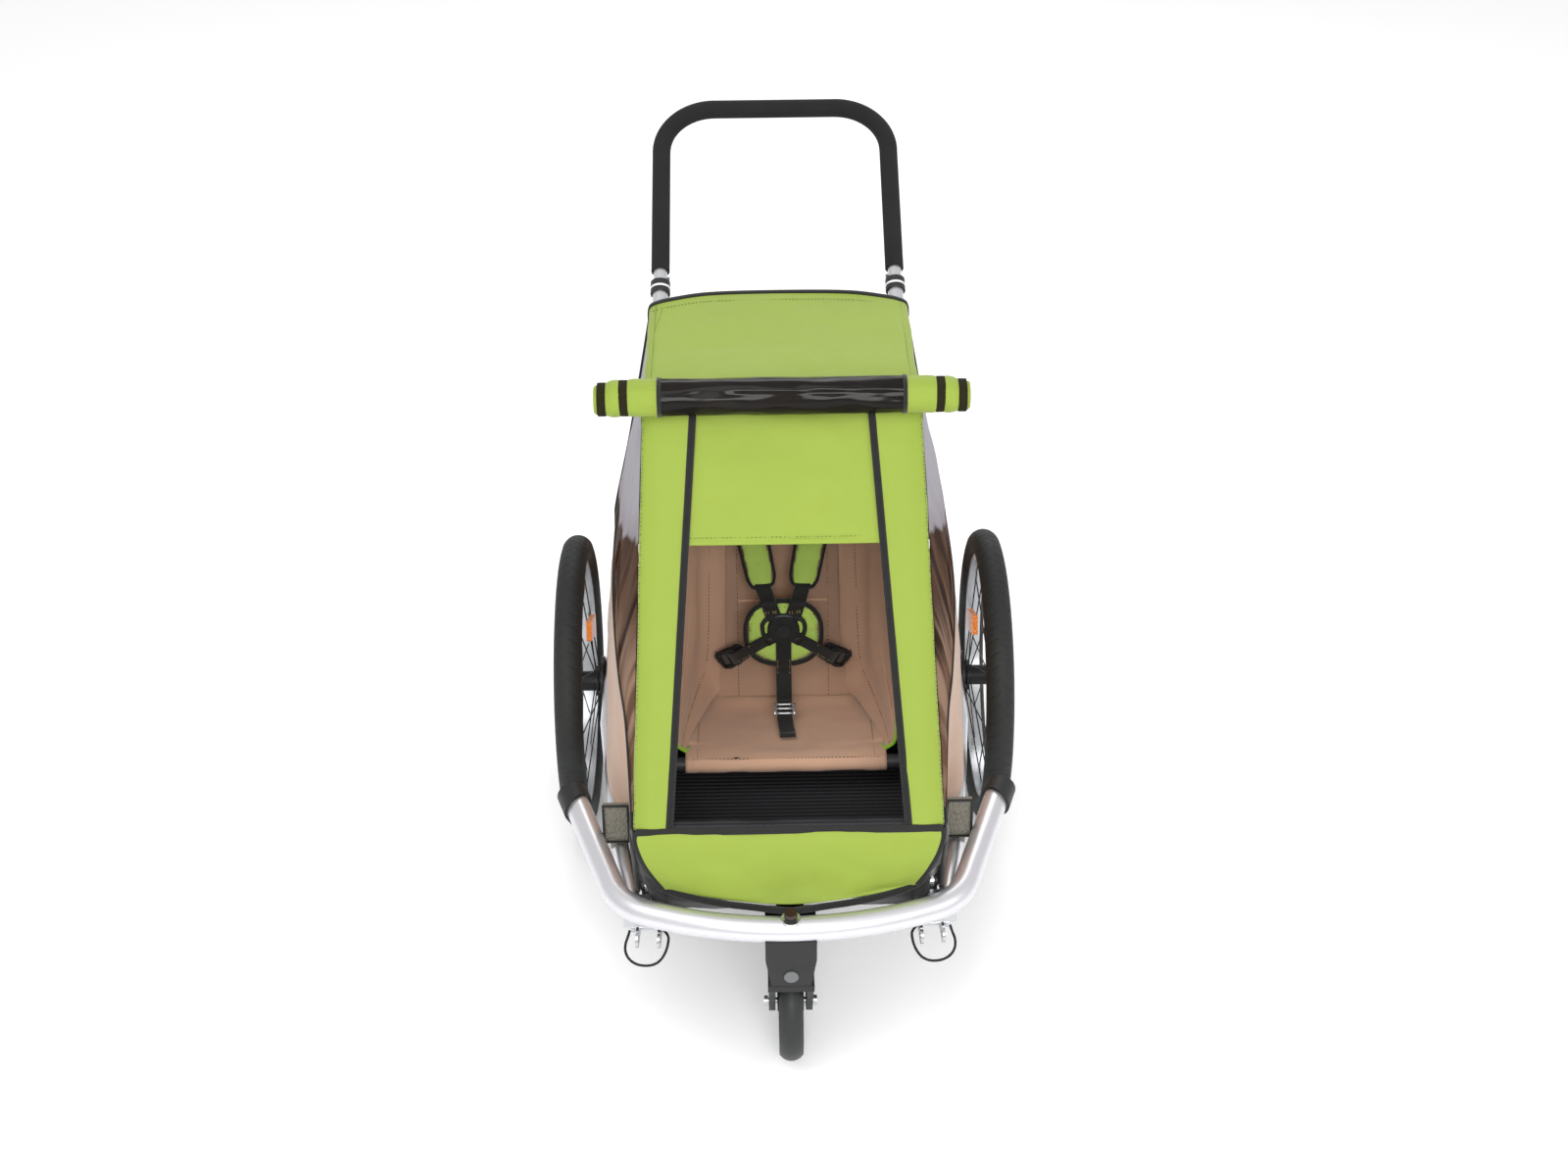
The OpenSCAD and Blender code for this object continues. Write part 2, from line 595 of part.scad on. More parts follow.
roof_wall = 1.6;
module roof_panel() color([0.65, 0.74, 0.32]) difference() {
    skin([for (v = [0:6]) let (y = roof_front_y + 20 + (roof_rear_y - roof_front_y + 14) * v / 6)
        concat([[-roof_x - 14, y, roof_z - 24]], [for (j = [-3:3])
            [(roof_x + 12) * j / 3, y, roof_z + lift + 6 * cos(j * 30)]], [[roof_x + 14, y, roof_z - 24]])],
        [0, 0, roof_wall]);
    both_sides() straight(on_bar(-4), on_bar(90), 17);
}

module rolled_cover() color([0.25, 0.24, 0.22]) {
    x_cyl(-182, 182, roll_c, 27.5);
    both_sides() x_cyl(182, 262, roll_c, 28.5);
    both_sides() translate([262, roll_c[0], roll_c[1]]) rotate([0, 90, 0]) cylinder(r1 = 28.5, r2 = 19, h = 10);
}

rear_edge = axle_y + 345;
module side_skin() let (x0 = rail_x, x1 = rail_x + rail_d / 2 + 0.4) skin([
    [[x0, rear_edge, 289], [x0, axle_y + 80, 289], [x0 - 2, axle_y - 150, 289], [275, axle_y - 330, 289],
        [233, axle_y - 431, 289], [223, axle_y - 556, 289]],
    [[x1, rear_edge - 2, 299], [x1, axle_y + 80, 299], [x1, axle_y - 150, 299], [281, axle_y - 330, 299],
        [234, axle_y - 431, 298], [224, axle_y - 560, 300]],
    [[x1, rear_edge - 40, 430], [x1, axle_y + 60, 440], [x1 - 2, axle_y - 150, 440], [283, axle_y - 330, 425],
        [235, axle_y - 431, 400], [226, axle_y - 562, 380]],
    [[roof_x + 62, roof_rear_y + 82, 600], [roof_x + 62, axle_y + 50, 640], [roof_x + 58, axle_y - 190, 640],
        [246, axle_y - 330, 560], [236, axle_y - 420, 500], [226, axle_y - 540, 402]],
    [[roof_x + 17, roof_rear_y + 34, 833], [roof_x + 17, axle_y + 50, 833], [roof_x + 17, axle_y - 120, 833],
        [roof_x + 21, axle_y - 226, 770], [roof_x + 26, axle_y - 330, 655], [226, axle_y - 528, 416]]
], [-1.4, 0, 0]);

module side_panel_left() color([0.55, 0.43, 0.36]) side(-1) side_skin();
module side_panel_right() color([0.55, 0.43, 0.36]) side_skin();

module back_wall() color([0.4, 0.3, 0.25]) {
    skin([for (r = [[300, 351, 297], [300, 310, 430], [250, 252, 600], [206, 203, 838]])
        [for (j = [-1:1]) [r[0] * j, axle_y + r[1], r[2]]]], [0, -2, 0]);
}

module seat_front_tube() color([0.24, 0.24, 0.25]) bent_tube([[-262, seat_front[0], 288.4], [-262, seat_front[0], seat_front[1]],
    [262, seat_front[0], seat_front[1]], [262, seat_front[0], 288.4]], 18, 11, 2);

module seat_pan() color([0.59, 0.46, 0.38]) band(concat(
    [for (a = [-60:30:90]) seat_front + 13.4 * [-cos(a), sin(a)]],
    [[seat_front[0] + 60, 330], [crease[0] - 60, 314], crease + [-8, 2]]), 3, seat_w / 2);

function on_back(s, h = 0) = crease + back_dir * s + [-back_dir[1], back_dir[0]] * h;
module seat_back() color([0.59, 0.46, 0.38]) band([on_back(4), on_back(120, -6), on_back(250, -4), on_back(380), on_back(478)],
    4, seat_w / 2 - 14);

module seat_wings() color([0.57, 0.44, 0.36]) both_sides() skin([
    [[157, seat_front[0] + 15, 345], [146, axle_y - 240, 336], [122, axle_y - 152, 322], [100, axle_y - 110, 336],
        [94, axle_y - 42, 470], [93, axle_y + 16, 610], [93, axle_y + 54, 702]],
    [[173, seat_front[0] + 20, 370], [176, axle_y - 240, 400], [179, axle_y - 180, 440], [179, axle_y - 120, 484],
        [174, axle_y - 76, 550], [168, axle_y - 34, 630], [163, axle_y - 6, 710]]
], [2, 0, 0]);

pad_c = [axle_y - 120, 445];
module harness() color([0.12, 0.12, 0.12]) {
    both_sides() {
        band([on_back(400, 7), on_back(330, 10), on_back(230, 26), on_back(180, 62)], 4, 22, 52);
        band([[pad_c[0] + 4, pad_c[1] - 30], [axle_y - 110, 360], [axle_y - 114, 344]], 3, 12, 90);
    }
    translate([0, pad_c[0], pad_c[1]]) rotate([80, 0, 0]) cylinder(r = 66, h = 6, center = true);
    band([[pad_c[0] - 10, pad_c[1] - 30], [pad_c[0] - 34, 390], [pad_c[0] - 70, 340], [axle_y - 236, 333]], 3, 12);
}
module buckle() color([0.08, 0.08, 0.08]) translate([0, pad_c[0], pad_c[1]]) rotate([80, 0, 0]) difference() {
    translate([0, 0, 3 + gap]) cylinder(r = 24, h = 12);
    translate([0, 0, 8]) cylinder(r = 11.1, h = 20);
}
module buckle_button() color([0.2, 0.2, 0.2]) translate([0, pad_c[0], pad_c[1]]) rotate([80, 0, 0])
    translate([0, 0, 13]) cylinder(r = 11, h = 5);

// ---------- the object ----------
side(-1) tyre();  // tyre_left
tyre();  // tyre_right
side(-1) rim();  // rim_left
rim();  // rim_right
side(-1) spokes();  // spokes_left
spokes();  // spokes_right
side(-1) hub();  // hub_left
hub();  // hub_right
side(-1) wheel_reflector();  // wheel_reflector_left
wheel_reflector();  // wheel_reflector_right
side(-1) axle();  // axle_left
axle();  // axle_right
side(-1) axle_button();  // axle_button_left
axle_button();  // axle_button_right
caster_bracket();
caster_release_button();
caster_fork();
caster_rim();
caster_tyre();
caster_axle();
bumper_tube();
bumper_caps();
cover_hook();
front_reflectors();
side_rails();
cross_tubes();
hub_receivers();
frame_hinge_lugs();
drawbar_brackets();
side(-1) drawbar_pin();  // drawbar_pin_left
drawbar_pin();  // drawbar_pin_right
side(-1) pin_tether();  // pin_tether_left
pin_tether();  // pin_tether_right
cage_tubes();
cage_crossbars();
rear_frame();
push_bar_sockets();
push_bar_tube();
push_bar_grip();
push_bar_button(-1);  // push_bar_button_left
push_bar_button(1);  // push_bar_button_right
brake_pedal();
side(-1) brake_pin();  // brake_pin_left
brake_pin();  // brake_pin_right
floor_panel();
nose_panel();
window_surround();
sunshade();
roof_panel();
rolled_cover();
side_panel_left();
side_panel_right();
back_wall();
seat_front_tube();
seat_pan();
seat_back();
seat_wings();
harness();
buckle();
buckle_button();
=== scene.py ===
import json
from math import atan2, copysign, cos, degrees, dist, exp, pi, radians, sin, sqrt

import bmesh
import bpy
from mathutils import Matrix, Vector, noise


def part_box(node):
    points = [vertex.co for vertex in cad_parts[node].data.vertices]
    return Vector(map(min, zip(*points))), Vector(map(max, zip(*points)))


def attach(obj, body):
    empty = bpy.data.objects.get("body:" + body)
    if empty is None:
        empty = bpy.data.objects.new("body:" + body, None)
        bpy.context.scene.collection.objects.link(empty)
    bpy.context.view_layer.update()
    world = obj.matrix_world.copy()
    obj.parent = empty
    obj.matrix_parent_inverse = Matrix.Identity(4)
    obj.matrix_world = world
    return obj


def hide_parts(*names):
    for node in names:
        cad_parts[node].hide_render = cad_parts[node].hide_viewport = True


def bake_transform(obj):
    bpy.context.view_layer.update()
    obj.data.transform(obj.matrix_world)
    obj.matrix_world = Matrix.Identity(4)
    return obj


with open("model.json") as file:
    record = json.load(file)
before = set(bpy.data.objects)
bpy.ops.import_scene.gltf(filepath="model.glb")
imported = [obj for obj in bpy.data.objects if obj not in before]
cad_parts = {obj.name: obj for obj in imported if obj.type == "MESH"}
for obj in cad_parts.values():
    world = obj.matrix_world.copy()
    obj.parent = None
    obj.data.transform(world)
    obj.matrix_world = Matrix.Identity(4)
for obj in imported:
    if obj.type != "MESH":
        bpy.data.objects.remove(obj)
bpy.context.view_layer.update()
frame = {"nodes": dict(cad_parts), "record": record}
nodes = frame["nodes"]
record = frame["record"]

# ---------- places and sizes, in metres ----------
MM = 0.001


def vec(x, y, z):
    return Vector((x, y, z))


SIDES = ((-1, "left"), (1, "right"))
ACROSS = vec(1, 0, 0)
UP = vec(0, 0, 1)


def middle(node):
    """The middle of a CAD node's box."""
    low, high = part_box(node)
    return (low + high) / 2


AXLE_Y = middle("tyre_right").y
LOW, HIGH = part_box("tyre_right")
WHEEL_R, TYRE_R = (HIGH.z - LOW.z) / 2, (HIGH.x - LOW.x) / 2
ROLL = middle("rolled_cover")
HOOK = middle("cover_hook")


def at(x, y, z):
    """A point in millimetres, with y counted rearwards from the main axle."""
    return vec(x * MM, AXLE_Y + y * MM, z * MM)


# The cage's front slope, from its knees over the nose to the roof's front corners.
KNEE = (-552, 398)
CREST = (-164, 858)
SLOPE_L = dist(KNEE, CREST)
SLOPE = ((CREST[0] - KNEE[0]) / SLOPE_L, (CREST[1] - KNEE[1]) / SLOPE_L)
LIFT = 13.4


def on_slope(x, u, h=LIFT):
    """Across x, u up the slope from the knees and h out from the tubes' axis."""
    return at(x, KNEE[0] + SLOPE[0] * u - SLOPE[1] * h, KNEE[1] + SLOPE[1] * u + SLOPE[0] * h)


SLOPE_OUT = vec(0, -SLOPE[1], SLOPE[0])
BAR_A = radians(29.5)
BAR_DIR = vec(0, cos(BAR_A), sin(BAR_A))


# ---------- material nodes ----------
def lin(r, g, b):
    """Linear colour from 0-255 sRGB."""
    def one(c):
        c /= 255
        return c / 12.92 if c <= 0.04045 else ((c + 0.055) / 1.055) ** 2.4
    return (one(r), one(g), one(b), 1)


def shade(c, k):
    """The colour made k times as bright."""
    return (c[0] * k, c[1] * k, c[2] * k, 1)


class Mat:
    """A Principled material with small helpers for procedural detail on object coordinates."""

    def __init__(self, name, rough=0.5, metallic=0.0, spec=0.5):
        self.m = bpy.data.materials.new(name)
        self.m.use_nodes = True
        self.t = self.m.node_tree
        self.b = self.t.nodes["Principled BSDF"]
        for socket, value in (("Roughness", rough), ("Metallic", metallic), ("Specular IOR Level", spec)):
            self.put(socket, value)
        self.co = self.t.nodes.new("ShaderNodeTexCoord").outputs["Object"]
        self.height = None

    def node(self, kind, **values):
        n = self.t.nodes.new(kind)
        for k, v in values.items():
            if k in n.inputs:
                n.inputs[k].default_value = v
            else:
                setattr(n, k, v)
        return n

    def link(self, a, b):
        self.t.links.new(a, b)

    def put(self, socket, value):
        self.b.inputs[socket].default_value = value

    def place(self, axis):
        """The object coordinate along axis."""
        n = self.node("ShaderNodeSeparateXYZ")
        self.link(self.co, n.inputs[0])
        return n.outputs[axis]

    def scaled(self, v):
        n = self.node("ShaderNodeMapping")
        n.inputs["Scale"].default_value = v
        self.link(self.co, n.inputs["Vector"])
        return n.outputs["Vector"]

    def noise(self, scale, detail=3, vector=None):
        n = self.node("ShaderNodeTexNoise", Scale=scale, Detail=detail)
        self.link(vector or self.co, n.inputs["Vector"])
        return n.outputs["Fac"]

    def wave(self, scale, direction, distortion=0.0):
        n = self.node("ShaderNodeTexWave", Scale=scale, Distortion=distortion)
        n.bands_direction = direction
        self.link(self.co, n.inputs["Vector"])
        return n.outputs["Fac"]

    def math(self, op, a, b=None, clamp=False):
        n = self.node("ShaderNodeMath")
        n.operation = op
        n.use_clamp = clamp
        for i, x in enumerate((a, b)):
            if x is None:
                continue
            if isinstance(x, (int, float)):
                n.inputs[i].default_value = x
            else:
                self.link(x, n.inputs[i])
        return n.outputs[0]

    def mix(self, fac, a, b):
        n = self.node("ShaderNodeMix")
        n.data_type = "RGBA"
        for i, x in ((0, fac), (6, a), (7, b)):
            if hasattr(x, "is_linked"):
                self.link(x, n.inputs[i])
            else:
                n.inputs[i].default_value = x
        return n.outputs[2]

    def ramp(self, fac, stops):
        n = self.node("ShaderNodeValToRGB")
        self.link(fac, n.inputs["Fac"])
        r = n.color_ramp
        while len(r.elements) < len(stops):
            r.elements.new(1)
        for e, (p, c) in zip(r.elements, stops):
            e.position = p
            e.color = c
        return n.outputs["Color"]

    def colour(self, x):
        if hasattr(x, "is_linked"):
            self.link(x, self.b.inputs["Base Color"])
        else:
            self.put("Base Color", x)
        return self

    def mottled(self, base, amount, scale):
        """The base colour, up to amount lighter or darker in soft patches."""
        return self.colour(self.mix(self.noise(scale, 4), shade(base, 1 - amount), shade(base, 1 + amount)))

    def rough_between(self, low, high, fac):
        n = self.node("ShaderNodeMapRange")
        self.link(fac, n.inputs["Value"])
        n.inputs["To Min"].default_value = low
        n.inputs["To Max"].default_value = high
        self.link(n.outputs[0], self.b.inputs["Roughness"])
        return self

    def bump(self, fac, metres, strength=1.0):
        n = self.node("ShaderNodeBump", Strength=strength, Distance=metres)
        self.link(fac, n.inputs["Height"])
        if self.height is not None:
            self.link(self.height, n.inputs["Normal"])
        self.height = n.outputs["Normal"]
        self.link(self.height, self.b.inputs["Normal"])
        return self


def cloth(name, base, rough=0.75, thread=0.0011, depth=0.00018, crumple=0.0012, sheen=0.25, amount=0.07):
    """Woven cloth: two crossed thread directions, soft creases and slight colour patches."""
    m = Mat(name, rough, spec=0.3)
    scale = 2 * pi / (20 * thread)
    weave = m.math("MULTIPLY", m.wave(scale, "X"), m.wave(scale, "DIAGONAL"))
    m.mottled(base, amount, 9)
    dark = m.mix(m.math("MULTIPLY", weave, 0.35), base, shade(base, 0.72))
    m.colour(m.mix(0.4, m.b.inputs["Base Color"].links[0].from_socket, dark))
    m.bump(m.noise(14, 3), crumple, 0.5)
    m.bump(weave, depth, 0.5)
    m.rough_between(rough - 0.08, rough + 0.08, m.noise(40, 2))
    m.put("Sheen Weight", sheen)
    m.put("Sheen Roughness", 0.5)
    return m.m


def plastic(name, base, rough=0.5, grain=0.00006, scale=900):
    m = Mat(name, rough, spec=0.4)
    m.mottled(base, 0.12, 30)
    m.bump(m.noise(scale, 2), grain, 0.6)
    m.rough_between(rough - 0.1, rough + 0.1, m.noise(60, 4))
    return m.m


def rubber(name, base, rough=0.65):
    m = Mat(name, rough, spec=0.3)
    m.mottled(base, 0.2, 18)
    m.bump(m.noise(1500, 2), 0.00005, 0.6)
    m.rough_between(rough - 0.12, rough + 0.1, m.noise(25, 5))
    return m.m


def metal(name, base, rough, metallic=1.0):
    """Brushed along Z."""
    m = Mat(name, rough, metallic)
    m.mottled(base, 0.03, 6)
    streaks = m.noise(1, 3, m.scaled((4, 4, 900)))
    m.bump(streaks, 0.00003, 0.4)
    m.rough_between(rough - 0.05, rough + 0.08, streaks)
    return m.m


def reflector(name, base, cell=0.0035):
    """Moulded prisms behind a clear face."""
    m = Mat(name, 0.18, spec=0.6)
    v = m.node("ShaderNodeTexVoronoi", Scale=1 / cell)
    m.link(m.co, v.inputs["Vector"])
    m.colour(m.mix(v.outputs["Distance"], shade(base, 1.15), shade(base, 0.7)))
    m.bump(v.outputs["Distance"], 0.0012, 0.9)
    return m.m


GREEN = lin(142, 162, 60)
BROWN = lin(176, 142, 118)
# Painted light: the seat cloth gets a lighter brown than the side cloth to brighten the dim inside.
SEAT_BROWN_PAINTED_LIGHT = lin(212, 170, 142)
BINDING = lin(24, 24, 23)
WEBBING = lin(26, 26, 26)
OLIVE = lin(30, 27, 3)


def banded_bar(name, base, band, start, length):
    """Black plastic with one pale band across the push bar's direction."""
    m = Mat(name, 0.45)
    d = m.node("ShaderNodeVectorMath")
    d.operation = "DOT_PRODUCT"
    m.link(m.co, d.inputs[0])
    d.inputs[1].default_value = BAR_DIR
    s = d.outputs["Value"]
    inside = m.math("MULTIPLY", m.math("GREATER_THAN", s, start), m.math("LESS_THAN", s, start + length))
    m.colour(m.mix(inside, base, band))
    m.bump(m.noise(900, 2), 0.00005, 0.5)
    return m.m


def two_tone(name, low, high, z):
    """Metal in one colour below height z, plastic in another above."""
    m = Mat(name, 0.25)
    above = m.math("GREATER_THAN", m.place("Z"), z)
    m.colour(m.mix(above, low, high))
    m.link(m.math("SUBTRACT", 1.0, above), m.b.inputs["Metallic"])
    m.bump(m.noise(400, 2), 0.00004, 0.5)
    return m.m


MATS = {
    "tyre_rubber": rubber("tyre_rubber", lin(36, 38, 37)),
    "rim_silver": metal("rim_silver", lin(205, 207, 210), 0.28),
    "spoke_black": metal("spoke_black", lin(36, 36, 36), 0.35, 0.6),
    "black_alloy": metal("black_alloy", lin(34, 34, 35), 0.38, 0.5),
    "reflector_orange": reflector("reflector_orange", lin(250, 138, 20)),
    "steel": metal("steel", lin(190, 192, 195), 0.25),
    "black_plastic": plastic("black_plastic", lin(27, 28, 28)),
    "grey_plastic": plastic("grey_plastic", lin(29, 31, 29), 0.5),
    "button_grey": plastic("button_grey", lin(104, 106, 108), 0.4),
    "caster_rubber": rubber("caster_rubber", lin(46, 48, 48), 0.5),
    "satin_alloy": metal("satin_alloy", lin(216, 215, 219), 0.34, 0.8),
    "rail_alloy": metal("rail_alloy", lin(214, 215, 218), 0.3, 0.9),
    "hook_brown": two_tone("hook_brown", lin(225, 225, 226), lin(48, 30, 22), HOOK.z + 0.004),
    "reflector_white": reflector("reflector_white", lin(122, 120, 108)),
    "tether_black": rubber("tether_black", lin(22, 22, 22), 0.5),
    "foam_grip": rubber("foam_grip", lin(30, 30, 31), 0.9),
    "floor_black": cloth("floor_black", lin(34, 34, 36), 0.8, 0.004, 0.0006),
    "cover_green": cloth("cover_green", GREEN, 0.6, crumple=0.004, sheen=0.12),
    "clear_vinyl": plastic("clear_vinyl", lin(30, 30, 28), 0.12),
    "side_brown": cloth("side_brown", BROWN),
    "seat_tube_grey": plastic("seat_tube_grey", lin(58, 58, 60), 0.4),
    "seat_brown": cloth("seat_brown", SEAT_BROWN_PAINTED_LIGHT, 0.8, crumple=0.0018),
    "strap_black": cloth("strap_black", WEBBING, 0.7, 0.0016, 0.0003),
    "buckle_grey": plastic("buckle_grey", lin(44, 44, 45), 0.35),
}
SLOT_OF = {s["node"]: s["material_slot"] for s in record["subparts"]}
for name, obj in nodes.items():
    slot = SLOT_OF[name]
    if name == "push_bar_sockets":
        start = (AXLE_Y + 0.208) * BAR_DIR.y + 0.883 * BAR_DIR.z
        use = banded_bar("socket_banded", lin(30, 30, 30), lin(225, 225, 226), start, 0.004)
    else:
        use = MATS[slot]
    obj.data.materials.clear()
    obj.data.materials.append(use)

STRAP, COVER, SEAT_CLOTH = MATS["strap_black"], MATS["cover_green"], MATS["seat_brown"]
EDGING = cloth("binding", BINDING, 0.7, 0.0014, 0.0002)
GREEN_PIPE = cloth("green_piping", lin(150, 205, 50), 0.6, 0.0008)
THREAD = plastic("yellow_thread", lin(196, 180, 80), 0.6)
DARK_THREAD = plastic("dark_thread", lin(104, 122, 52), 0.6)
BROWN_THREAD = plastic("brown_thread", lin(92, 68, 54), 0.6)


# ---------- mesh helpers ----------
CLOTH_T = 0.0012


def mesh_object(name, verts, faces, material, smooth=True):
    me = bpy.data.meshes.new(name)
    me.from_pydata([tuple(v) for v in verts], [], faces)
    me.validate()
    o = bpy.data.objects.new(name, me)
    bpy.context.scene.collection.objects.link(o)
    o.data.materials.append(material)
    if smooth:
        me.polygons.foreach_set("use_smooth", [True] * len(me.polygons))
    return o


def apply(o, kind, **values):
    """Adds a modifier and applies it at once."""
    m = o.modifiers.new(kind, kind)
    for k, v in values.items():
        setattr(m, k, v)
    evaluated = o.evaluated_get(bpy.context.evaluated_depsgraph_get())
    me = bpy.data.meshes.new_from_object(evaluated)
    old = o.data
    o.modifiers.clear()
    o.data = me
    bpy.data.meshes.remove(old)
    me.polygons.foreach_set("use_smooth", [True] * len(me.polygons))
    return o


def quads(rows, cols, wrap_rows=False, wrap_cols=True, start=0):
    """Faces between neighbouring rows of points, each row closed into a ring where wrap_cols is set."""
    faces = []
    for i in range(rows if wrap_rows else rows - 1):
        for j in range(cols if wrap_cols else cols - 1):
            i2, j2 = (i + 1) % rows, (j + 1) % cols
            faces.append(tuple(start + k for k in (i * cols + j, i * cols + j2, i2 * cols + j2, i2 * cols + j)))
    return faces


def caps(rows, cols):
    """The two end faces of a row of rings."""
    return [tuple(range(cols))[::-1], tuple((rows - 1) * cols + k for k in range(cols))]


def turns(n, count=None):
    """count angles that are an nth of a full turn apart."""
    return [2 * pi * k / n for k in range(n if count is None else count)]


def squared(value, power):
    """A sine or cosine pushed towards its limits, which turns a circle into a rounded box."""
    return copysign(abs(value) ** power, value)


def outward(o):
    """Turns the faces of a closed mesh outwards."""
    bm = bmesh.new()
    bm.from_mesh(o.data)
    bmesh.ops.recalc_face_normals(bm, faces=bm.faces)
    bm.to_mesh(o.data)
    bm.free()
    return o


def surface(name, point, nu, nv, material, wrinkle, scale):
    """A sheet of cloth over point(u, v), u and v from 0 to 1, with seeded wrinkles that fade at its edges."""
    verts = [point(i / nu, j / nv) for i in range(nu + 1) for j in range(nv + 1)]
    o = mesh_object(name, verts, quads(nu + 1, nv + 1, wrap_cols=False), material)
    if wrinkle:
        normals = [v.normal.copy() for v in o.data.vertices]
        for k, v in enumerate(o.data.vertices):
            u, w = (k // (nv + 1)) / nu, (k % (nv + 1)) / nv
            fade = min(1, 12 * min(u, 1 - u), 12 * min(w, 1 - w))
            n = noise.fractal(v.co * scale + vec(3, 7, 1), 1.0, 2.0, 3)
            v.co += normals[k] * wrinkle * n * fade
    return apply(o, "SOLIDIFY", thickness=CLOTH_T, offset=0)


def between(points, i, t):
    """The Catmull-Rom point at t, from 0 to 1, on the stretch that starts at point i."""
    a, b, c, d = points[max(i - 1, 0)], points[i], points[i + 1], points[min(i + 2, len(points) - 1)]
    return 0.5 * (2 * b + (c - a) * t + (2 * a - 5 * b + 4 * c - d) * t * t + (3 * b - a - 3 * c + d) * t * t * t)


def smooth_path(points, n=6):
    """A smooth path through the given points, with n steps for each stretch."""
    return [between(points, i, k / n) for i in range(len(points) - 1) for k in range(n)] + [points[-1]]


def moved(path, x, y, z):
    """The path shifted by x, y and z metres."""
    shift = vec(x, y, z)
    return [p + shift for p in path]


def sweep(name, path, side, width, thick, material, sides=12, closed=False, power=0.6):
    """A band or cord along path. side is the direction of its width, one vector or one for each point."""
    n = len(path)
    verts = []
    for i, p in enumerate(path):
        after, before = ((i + 1) % n, i - 1) if closed else (min(i + 1, n - 1), max(i - 1, 0))
        t = (path[after] - path[before]).normalized()
        s = side[i] if isinstance(side, list) else side
        s = (s - t * s.dot(t)).normalized()
        b = t.cross(s)
        verts += [p + s * (width / 2 * squared(cos(a), power)) + b * (thick / 2 * squared(sin(a), power))
                  for a in turns(sides)]
    faces = quads(n, sides, wrap_rows=closed) + ([] if closed else caps(n, sides))
    return outward(mesh_object(name, verts, faces, material))


def joined(name, parts):
    """Joins parts into one object that keeps each part's material."""
    mats, verts, faces, index = [], [], [], []
    for o in parts:
        base = len(verts)
        verts += [v.co.copy() for v in o.data.vertices]
        for f in o.data.polygons:
            faces.append([base + v for v in f.vertices])
            m = o.data.materials[f.material_index]
            if m not in mats:
                mats.append(m)
            index.append(mats.index(m))
    for o in parts:
        bpy.data.objects.remove(o)
    out = mesh_object(name, verts, faces, mats[0])
    for m in mats[1:]:
        out.data.materials.append(m)
    out.data.polygons.foreach_set("material_index", index)
    return out


def stitches(name, path, material=None, pitch=0.006, length=0.0036, radius=0.0006):
    """A row of thread stitches on a surface path."""
    parts = []
    run, target = 0.0, 0.0
    for a, b in zip(path, path[1:]):
        d = (b - a).length
        while run + d >= target + length and d > 0:
            s = a.lerp(b, max(0, (target - run)) / d)
            e = a.lerp(b, min(1, (target + length - run) / d))
            parts.append((s, e))
            target += pitch
        run += d
    verts, faces = [], []
    for s, e in parts:
        t = (e - s).normalized()
        x = t.orthogonal().normalized()
        y = t.cross(x)
        base = len(verts)
        for p, r in ((s, 0.35), (s.lerp(e, 0.25), 1), (s.lerp(e, 0.75), 1), (e, 0.35)):
            verts += [p + (x * cos(a) + y * sin(a)) * radius * r for a in turns(5)]
        faces += quads(4, 5, start=base)
    return mesh_object(name, verts, faces, material or THREAD)


# ---------- tyres with tread ----------
RELIEF, GROOVE = 0.0008, 0.0014


def tyre(tag):
    """The tyre's CAD shape with shallow curved tread cuts."""
    name = f"tyre_{tag}"
    c = middle(name)
    around, across = 840, 44
    ring = WHEEL_R - TYRE_R
    pitch = 2 * pi / 70
    verts = []
    for a in turns(around):
        for s in turns(across):
            q = abs(degrees(atan2(sin(s), cos(s))))
            r = TYRE_R - RELIEF
            if q < 62:
                lean = 0.055 * (q / 62) ** 1.5
                phase = ((a + lean + (pitch / 2 if sin(s) > 0 else 0)) / pitch) % 1
                cut = max(0.0, 1 - abs(phase - 0.5) / 0.11) if 7 < q < 55 else 0
                centre = max(0.0, 1 - abs(q - 5) / 2.5)
                r += RELIEF - GROOVE * min(1, max(cut, centre))
            verts.append(c + vec(r * sin(s), (ring + r * cos(s)) * sin(a), (ring + r * cos(s)) * cos(a)))
    faces = quads(around, across, wrap_rows=True)
    o = outward(mesh_object(f"tread_{name}", verts, faces, MATS["tyre_rubber"]))
    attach(o, f"wheel_{tag}")
    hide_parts(name)


for side, tag in SIDES:
    tyre(tag)


# ---------- cloth panels ----------
def spline(points, t):
    """The smooth point at t, from 0 to 1, through all the given ones."""
    n = len(points) - 1
    i = min(int(t * n), n - 1)
    return between(points, i, t * n - i)


def patch(rows):
    """The smooth surface point(u, v) through rows of points: u along the list, v along each row."""
    return lambda u, v: spline([spline(r, v) for r in rows], u)


def cut_of(point, n=36):
    """(across, down) and the area of the flat cloth behind point(u, v)."""
    grid = [[point(i / n, j / n) for j in range(n + 1)] for i in range(n + 1)]
    across = max(sum((b - a).length for a, b in zip(r, r[1:])) for r in grid)
    down = max(sum((b[j] - a[j]).length for a, b in zip(grid, grid[1:])) for j in range(n + 1))
    area = sum((grid[i + 1][j] - grid[i][j]).cross(grid[i][j + 1] - grid[i][j]).length
               for i in range(n) for j in range(n))
    return (across, down), min(area, across * down)


def panel(name, point, nu, nv, material, wrinkle=0.0, scale=9.0, stands_for=()):
    """A cloth sheet over point(u, v); its flat size is worked out but not used."""
    o = surface(name, point, nu, nv, material, wrinkle, scale)
    flat, area = cut_of(point)
    if stands_for:
        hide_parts(*stands_for)
    return o


def edge(point, along, fixed, n=40):
    """Points down one side of point(u, v): along is "u" or "v"."""
    return [point(i / n, fixed) if along == "u" else point(fixed, i / n) for i in range(n + 1)]


def riding(body, *pieces):
    for o in pieces:
        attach(o, body)


